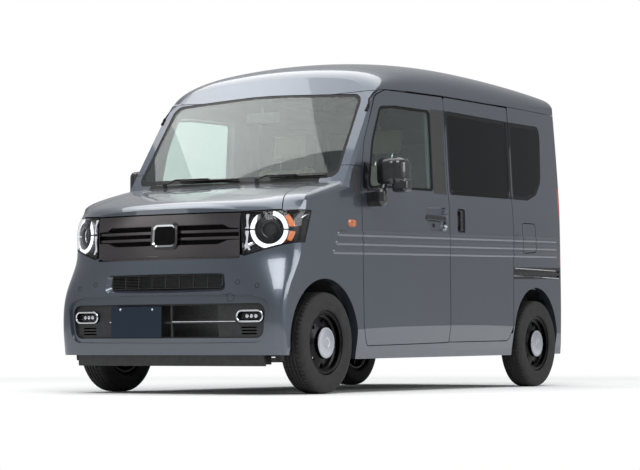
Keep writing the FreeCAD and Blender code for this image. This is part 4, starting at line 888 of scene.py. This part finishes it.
GUTTER = [(380, 1598), (427, 1620), (541, 1660), (664, 1678), (949, 1695), (1330, 1708), (2166, 1725),
          (2722, 1731)]
SLIDE_STRIP = [(2143, 1152, 2), (2167, 1152, 2), (2164, 1631, 2), (2140, 1630, 2)]
SLIDE_FRONT_STRIP = [(0, 1130, 2), (1370, 1132, 2), (1364, 1624, 2), (0, 1622, 2)]
QUARTER_STRIP = [(2177, 1153, 2), (2194, 1153, 2), (2192, 1632, 2), (2175, 1631, 2)]
PILLAR_STRIP = [(1173, 1128, 2), (0, 1128, 2), (0, 1622, 2), (1175, 1616, 2)]
DOOR_CORNER = [(372, 1108, 6), (462, 1104, 4), (470, 1150, 30), (436, 1215, 60), (402, 1262, 6),
               (380, 1190, 30)]
GUTTER_ENDS = (((380, 1598), (427, 1620)), ((2690, 1730.5), (2728, 1731)))
STRIP_GAP = 4.5
PILLAR_GARNISH = [(276, 1212, 10), (334, 1218, 4), (335, 1052, 14), (304, 1046, 26), (268, 1098, 30)]
RAIL_LINES, RAIL_END = (0.24, 0.76), 0.012


def side_details():
    for side in ("left", "right"):
        frame_side, panel, slider = f"side_frame_{side}", f"quarter_panel_{side}", f"sliding_door_{side}"
        plate_from(f"pillar_garnish_{side}", PILLAR_GARNISH, view=side,
                   on=(f"front_fender_{side}", frame_side), material=TRIM, lift=1.6, thick=3,
                   step=14)
        roof_side = ("roof_panel", frame_side, panel, f"door_{side}", slider)
        bead(f"gutter_seal_{side}", GUTTER, side, roof_side, 0.6, 20, radius=0.0052, material=SEAL,
             sides=8, flat=0.5)
        for k, ends in enumerate(GUTTER_ENDS):
            bead(f"gutter_end_{side}_{k}", ends, side, roof_side, 1.0, 12, radius=0.010, material=SEAL,
                 flat=0.6)
        door_rear = (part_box(f"door_{side}")[1].y - AXLE_Y) / MM - STRIP_GAP
        slide_front = (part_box(slider)[0].y - AXLE_Y) / MM + STRIP_GAP
        for name, rows, node_name, body, material in (
                ("slide_window_strip", SLIDE_STRIP, slider, "root", BLACKOUT),
                ("quarter_window_strip", QUARTER_STRIP, panel, "root", BLACKOUT),
                ("slide_front_strip", [(a or slide_front, b, r) for a, b, r in SLIDE_FRONT_STRIP], slider,
                 "root", BLACKOUT),
                ("pillar_strip", [(a or door_rear, b, r) for a, b, r in PILLAR_STRIP], f"door_{side}",
                 f"door_{side}", PILLAR_FILM),
                ("door_corner", DOOR_CORNER, f"door_{side}", f"door_{side}", BLACKOUT)):
            plate_from(f"{name}_{side}", rows, view=side, on=(node_name,), body=body, material=material,
                       lift=0.6, thick=1.4)
        low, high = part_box("slide_rails")
        for k, share in enumerate(RAIL_LINES):
            height = (low.z + (high.z - low.z) * share) / MM
            ends = [((y - AXLE_Y) / MM, height) for y in (low.y + RAIL_END, high.y - RAIL_END)]
            bead(f"slide_rail_edge_{side}_{k}", ends, side, ("slide_rails",), 0.8, 30, radius=0.003,
                 material=CHROME, slot="metal", sides=8)


# Tyres and caps

TREAD_HALF = 50.0
GROOVES = ((-31, 7), (-10.5, 7.5), (10.5, 7.5), (31, 7))
GROOVE_DEPTH = 6.5
SIDEWALL = [(59, 170), (64, 173), (67.5, 180), (69.5, 186), (69.2, 188), (71.5, 200), (72.3, 214), (72.2, 222),
            (71.2, 228), (71.6, 230), (70.4, 240), (67, 250), (62, 257.5), (60.8, 258), (60.2, 260.5),
            (56, 264)]
PITCHES = 66
SIPE = ((0.0, 0.0), (0.80, 0.0), (0.84, 1.0), (0.96, 1.0))
SIPE_DEPTH, SIPE_LAG = 4.0, 0.35
CROWN_DROP, EDGE_DROP, GROOVE_SLOPE = 2.0, 0.8, 1.2


def tyre_profile():
    """Rows of across, radius and share of the shoulder cuts, from bead to bead"""
    radius = TYRE_RADIUS / MM - 0.2
    half = [(x, r, 0.0) for x, r in SIDEWALL[:-1]] + [(SIDEWALL[-1][0], SIDEWALL[-1][1], 0.8)]
    tread = []

    def crown(x):
        return radius - CROWN_DROP * (abs(x) / TREAD_HALF) ** 2.5

    edges = [TREAD_HALF]
    for middle, width in reversed(GROOVES):
        edges += [middle + width / 2, middle - width / 2]
    edges.append(-TREAD_HALF)
    for i in range(0, len(edges), 2):
        a, b = edges[i], edges[i + 1]
        share = 1.0 if i in (0, len(edges) - 2) else 0.45
        for k in range(4):
            x = a + (b - a) * k / 3
            tread.append((x, crown(x) - (EDGE_DROP if k in (0, 3) else 0), share))
        if i + 2 < len(edges):
            c, d = edges[i + 1], edges[i + 2]
            tread.append((c - GROOVE_SLOPE, crown(c) - GROOVE_DEPTH, 0.0))
            tread.append((d + GROOVE_SLOPE, crown(d) - GROOVE_DEPTH, 0.0))
    mirrored_half = [(-x, r, cut) for x, r, cut in reversed(half)]
    return half + tread + mirrored_half


def tyre(wheel):
    low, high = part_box(f"tyre_{wheel}")
    centre = (low + high) / 2
    profile = tyre_profile()
    verts = []
    for pitch in range(PITCHES):
        for start, cut in SIPE:
            turn = 2 * math.pi * (pitch + start) / PITCHES
            for x, r, share in profile:
                lag = SIPE_LAG * (x / TREAD_HALF) ** 2 * 2 * math.pi / PITCHES if share else 0
                rr = (r - cut * share * SIPE_DEPTH) * MM
                verts.append(centre + Vector((x * MM, rr * math.cos(turn + lag), rr * math.sin(turn + lag))))
    faces = joined(PITCHES * len(SIPE), len(profile))
    mesh = clean_mesh(f"tyre_tread_{wheel}", verts, faces)
    piece = finish_piece(f"tyre_tread_{wheel}", mesh, f"wheel_{wheel}", RUBBER)
    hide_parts(f"tyre_{wheel}")


CAP_PROFILE = [(-6, 81), (0.2, 81.2), (1.4, 80), (1.8, 76), (1.2, 74), (2.6, 68), (4.4, 50), (5.2, 30),
               (5.3, 24), (4.4, 22.5), (4.4, 20), (5.5, 18.5), (5.8, 0.01)]


def wheel_cap(wheel):
    low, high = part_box(f"rim_{wheel}")
    side = 1 if wheel.endswith("left") else -1
    place, _ = landed(wheel.split("_")[1], Vector((0, (low.y + high.y) / 2 + 0.06, (low.z + high.z) / 2)),
                      (f"rim_{wheel}",))
    centre = Vector((place.x, (low.y + high.y) / 2, (low.z + high.z) / 2))
    revolved(f"wheel_cap_{wheel}", CAP_PROFILE, centre, (side, 0, 0), SILVER, 96, f"wheel_{wheel}")


# Seats: cushions swelled as cloth over their plain bases

SEAT_X, SEAT_HALF, BACK_HALF, HEAD_HALF, BASE_HALF, BOLSTER = 330, 225, 215, 108, 180, 135
STALK_GAP = 54
STALK_ENDS = ((1262, 1300), (1285, 1420))
REAR_SEAMS = (-180, 180)
CUSHION = [(572, 652), (1078, 652), (1068, 728), (572, 758)]
BACKREST = [(1046, 702), (1140, 702), (1278, 1330), (1235, 1338)]
HEADREST = [(1248, 1387), (1300, 1382), (1313, 1519), (1273, 1523)]
SEAT_BASE = [(640, 402), (1020, 402), (1000, 660), (620, 660)]
REAR_CUSHION = [(1770, 700), (2150, 700), (2150, 762), (1770, 774)]
REAR_BACK = [(2120, 776), (2174, 776), (2258, 1232), (2218, 1240)]
REAR_BASE = [(1860, 452), (2080, 452), (2080, 705), (1860, 705)]
VOXEL = 0.009
SWELL_FRAMES = 20
SWELL_CAP = 0.024
SEAM_HALF, SEAM_CAP = 0.035, 0.2


def prism(profile, x0, x1, soften):
    """Block with a side profile of (station, height) corners and rounded edges"""
    made = bmesh.new()
    face = made.faces.new([made.verts.new(at(x0, *p)) for p in profile])
    pushed_out(made, [face], ((x1 - x0) * MM, 0, 0))
    bmesh.ops.bevel(made, geom=made.edges[:], offset=soften * MM, segments=4, affect="EDGES", profile=0.5)
    return as_mesh(made, "prism")


def hard_block(name, profile, x0, x1, soften, material, body="root"):
    finish_piece(name, prism(profile, x0, x1, soften), body, material)


def cloth_form(name, profile, x0, x1, soften):
    """Closed form remeshed and ready to swell as cloth"""
    form = put(name, prism(profile, x0, x1, soften))
    remesh = form.modifiers.new("remesh", "REMESH")
    remesh.mode = "VOXEL"
    remesh.voxel_size = VOXEL
    graph = bpy.context.evaluated_depsgraph_get()
    even = bpy.data.meshes.new_from_object(form.evaluated_get(graph))
    form.modifiers.clear()
    form.data = even
    cloth = form.modifiers.new("cloth", "CLOTH")
    cloth.settings.use_pressure = True
    cloth.settings.uniform_pressure_force = 4.0
    cloth.settings.effector_weights.gravity = 0.0
    cloth.point_cache.frame_start, cloth.point_cache.frame_end = 1, SWELL_FRAMES
    return form


def swelled(form, seams):
    """Mesh of a swelled form, each point's move capped and held back along the seams"""
    graph = bpy.context.evaluated_depsgraph_get()
    mesh = bpy.data.meshes.new_from_object(form.evaluated_get(graph))
    for before, after in zip(form.data.vertices, mesh.vertices):
        near = min((abs(before.co.x - x * MM) for x in seams), default=1.0)
        cap = SWELL_CAP * (SEAM_CAP + (1 - SEAM_CAP) * min(1.0, near / SEAM_HALF))
        move = after.co - before.co
        if move.length > cap:
            after.co = before.co + move.normalized() * cap
    form.modifiers.clear()
    bpy.data.objects.remove(form)
    return mesh


def seats():
    plans = []
    for word, x in (("left", SEAT_X), ("right", -SEAT_X)):
        seams = (x - BOLSTER, x + BOLSTER)
        plans.append((f"seat_cushion_{word}", CUSHION, x - SEAT_HALF, x + SEAT_HALF, 26, seams))
        plans.append((f"seat_back_{word}", BACKREST, x - BACK_HALF, x + BACK_HALF, 20, seams))
        plans.append((f"head_restraint_{word}", HEADREST, x - HEAD_HALF, x + HEAD_HALF, 18, ()))
        hard_block(f"seat_base_{word}", SEAT_BASE, x - BASE_HALF, x + BASE_HALF, 18, CABIN)
        for k, offset in enumerate((-STALK_GAP, STALK_GAP)):
            points = [at(x + offset, *end) for end in STALK_ENDS]
            tube_along(f"head_stalk_{word}_{k}", points, 0.006, [Vector((0, 1, 0))] * 2, CHROME, "metal")
    plans.append(("rear_cushion", REAR_CUSHION, -530, 530, 22, REAR_SEAMS))
    plans.append(("rear_back", REAR_BACK, -520, 520, 16, REAR_SEAMS))
    hard_block("rear_seat_base", REAR_BASE, -400, 400, 18, CABIN)
    forms = [cloth_form(f"{plan[0]}_form", *plan[1:5]) for plan in plans]
    for step in range(1, SWELL_FRAMES + 1):
        bpy.context.scene.frame_set(step)
    for plan, form in zip(plans, forms):
        mesh = swelled(form, plan[5])
        mesh.materials.clear()
        finish_piece(plan[0], mesh, "root", SEAT_CLOTH)
    bpy.context.scene.frame_set(1)
    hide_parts("front_seats")
    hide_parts("rear_seats")


# Mirrors, and what the tailgate carries

MIRROR_PLAN = [(742, 554, 40), (925, 554, 26), (925, 474, 40), (902, 438, 50), (758, 432, 50)]
MIRROR_LOW, MIRROR_HIGH, MIRROR_SOFT = 1126, 1275, 34
MIRROR_GLASS_PROFILE = [(553, 1150), (556, 1150), (556, 1251), (553, 1251)]
MIRROR_FACE_X = (772, 896)
TRAY, TRAY_HALF = [(-338, 156), (-334, 156), (-334, 240), (-338, 240)], 590
GATE_HANDLE = [(-150, 662, 12), (150, 662, 12), (150, 696, 12), (-150, 696, 12)]
HIGH_LAMP = [(-85, 1664, 5), (85, 1664, 5), (85, 1678, 5), (-85, 1678, 5)]
GATE = ("tailgate", "tailgate_glass")
REAR_WIPER = [(0, 1130), (-90, 1158), (-330, 1172)]
WIPER_PIVOT = [(-1, 0.01), (6.6, 0.01), (7, 8), (5, 15), (-1, 18)]
CABIN_MIRROR = [(470, 1512), (494, 1506), (500, 1566), (476, 1572)]


def back_details():
    for side, word in SIDES:
        rows = MIRROR_PLAN if side > 0 else mirror_rows(MIRROR_PLAN)
        made = bmesh.new()
        face = made.faces.new([made.verts.new(at(p.x, p.y, MIRROR_LOW)) for p in rounded(rows, 8)])
        pushed_out(made, [face], (0, 0, (MIRROR_HIGH - MIRROR_LOW) * MM))
        ends = [e for e in made.edges if abs(e.verts[0].co.z - e.verts[1].co.z) < 1e-6]
        bmesh.ops.bevel(made, geom=ends, offset=MIRROR_SOFT * MM, segments=6, affect="EDGES", profile=0.5)
        finish_piece(f"mirror_cover_{word}", as_mesh(made, f"mirror_cover_{word}"), f"door_{word}",
                     MIRROR_BLACK)
        inner, outer = sorted(side * x for x in MIRROR_FACE_X)
        hard_block(f"mirror_face_{word}", MIRROR_GLASS_PROFILE, inner, outer, 1.2, MIRROR_GLASS,
                   f"door_{word}")
    hard_block("front_under_tray", TRAY, -TRAY_HALF, TRAY_HALF, 1.5, TRIM)
    plate_from("tailgate_handle", GATE_HANDLE, view="back", on=("tailgate",), body="tailgate",
               material=SATIN, lift=0.5, crown=0.2)
    plate_from("high_stop_lamp", HIGH_LAMP, view="back", on=("tailgate",), body="tailgate", material=RED,
               slot="red_lens", lift=2, thick=3)
    bead("rear_wiper_arm", REAR_WIPER, "back", GATE, 3.5, 20, radius=0.0035, body="tailgate", material=SATIN)
    place, normal = landed("back", drawn("back", *REAR_WIPER[0]), GATE)
    revolved("rear_wiper_pivot", WIPER_PIVOT, place, normal, SATIN, 32, "tailgate")
    hard_block("cabin_mirror", CABIN_MIRROR, -108, 108, 9, MIRROR_BLACK)
    tube_along("cabin_mirror_stem", [at(0, 492, 1560), at(0, 474, 1604)], 0.009, [Vector((1, 0, 0))] * 2,
               MIRROR_BLACK, "inner", sides=12)


grille_details()
headlamp_details()
bumper_details()
number_plate()
window_details()
side_details()
seats()
back_details()
for wheel in WHEELS:
    tyre(wheel)
    wheel_cap(wheel)
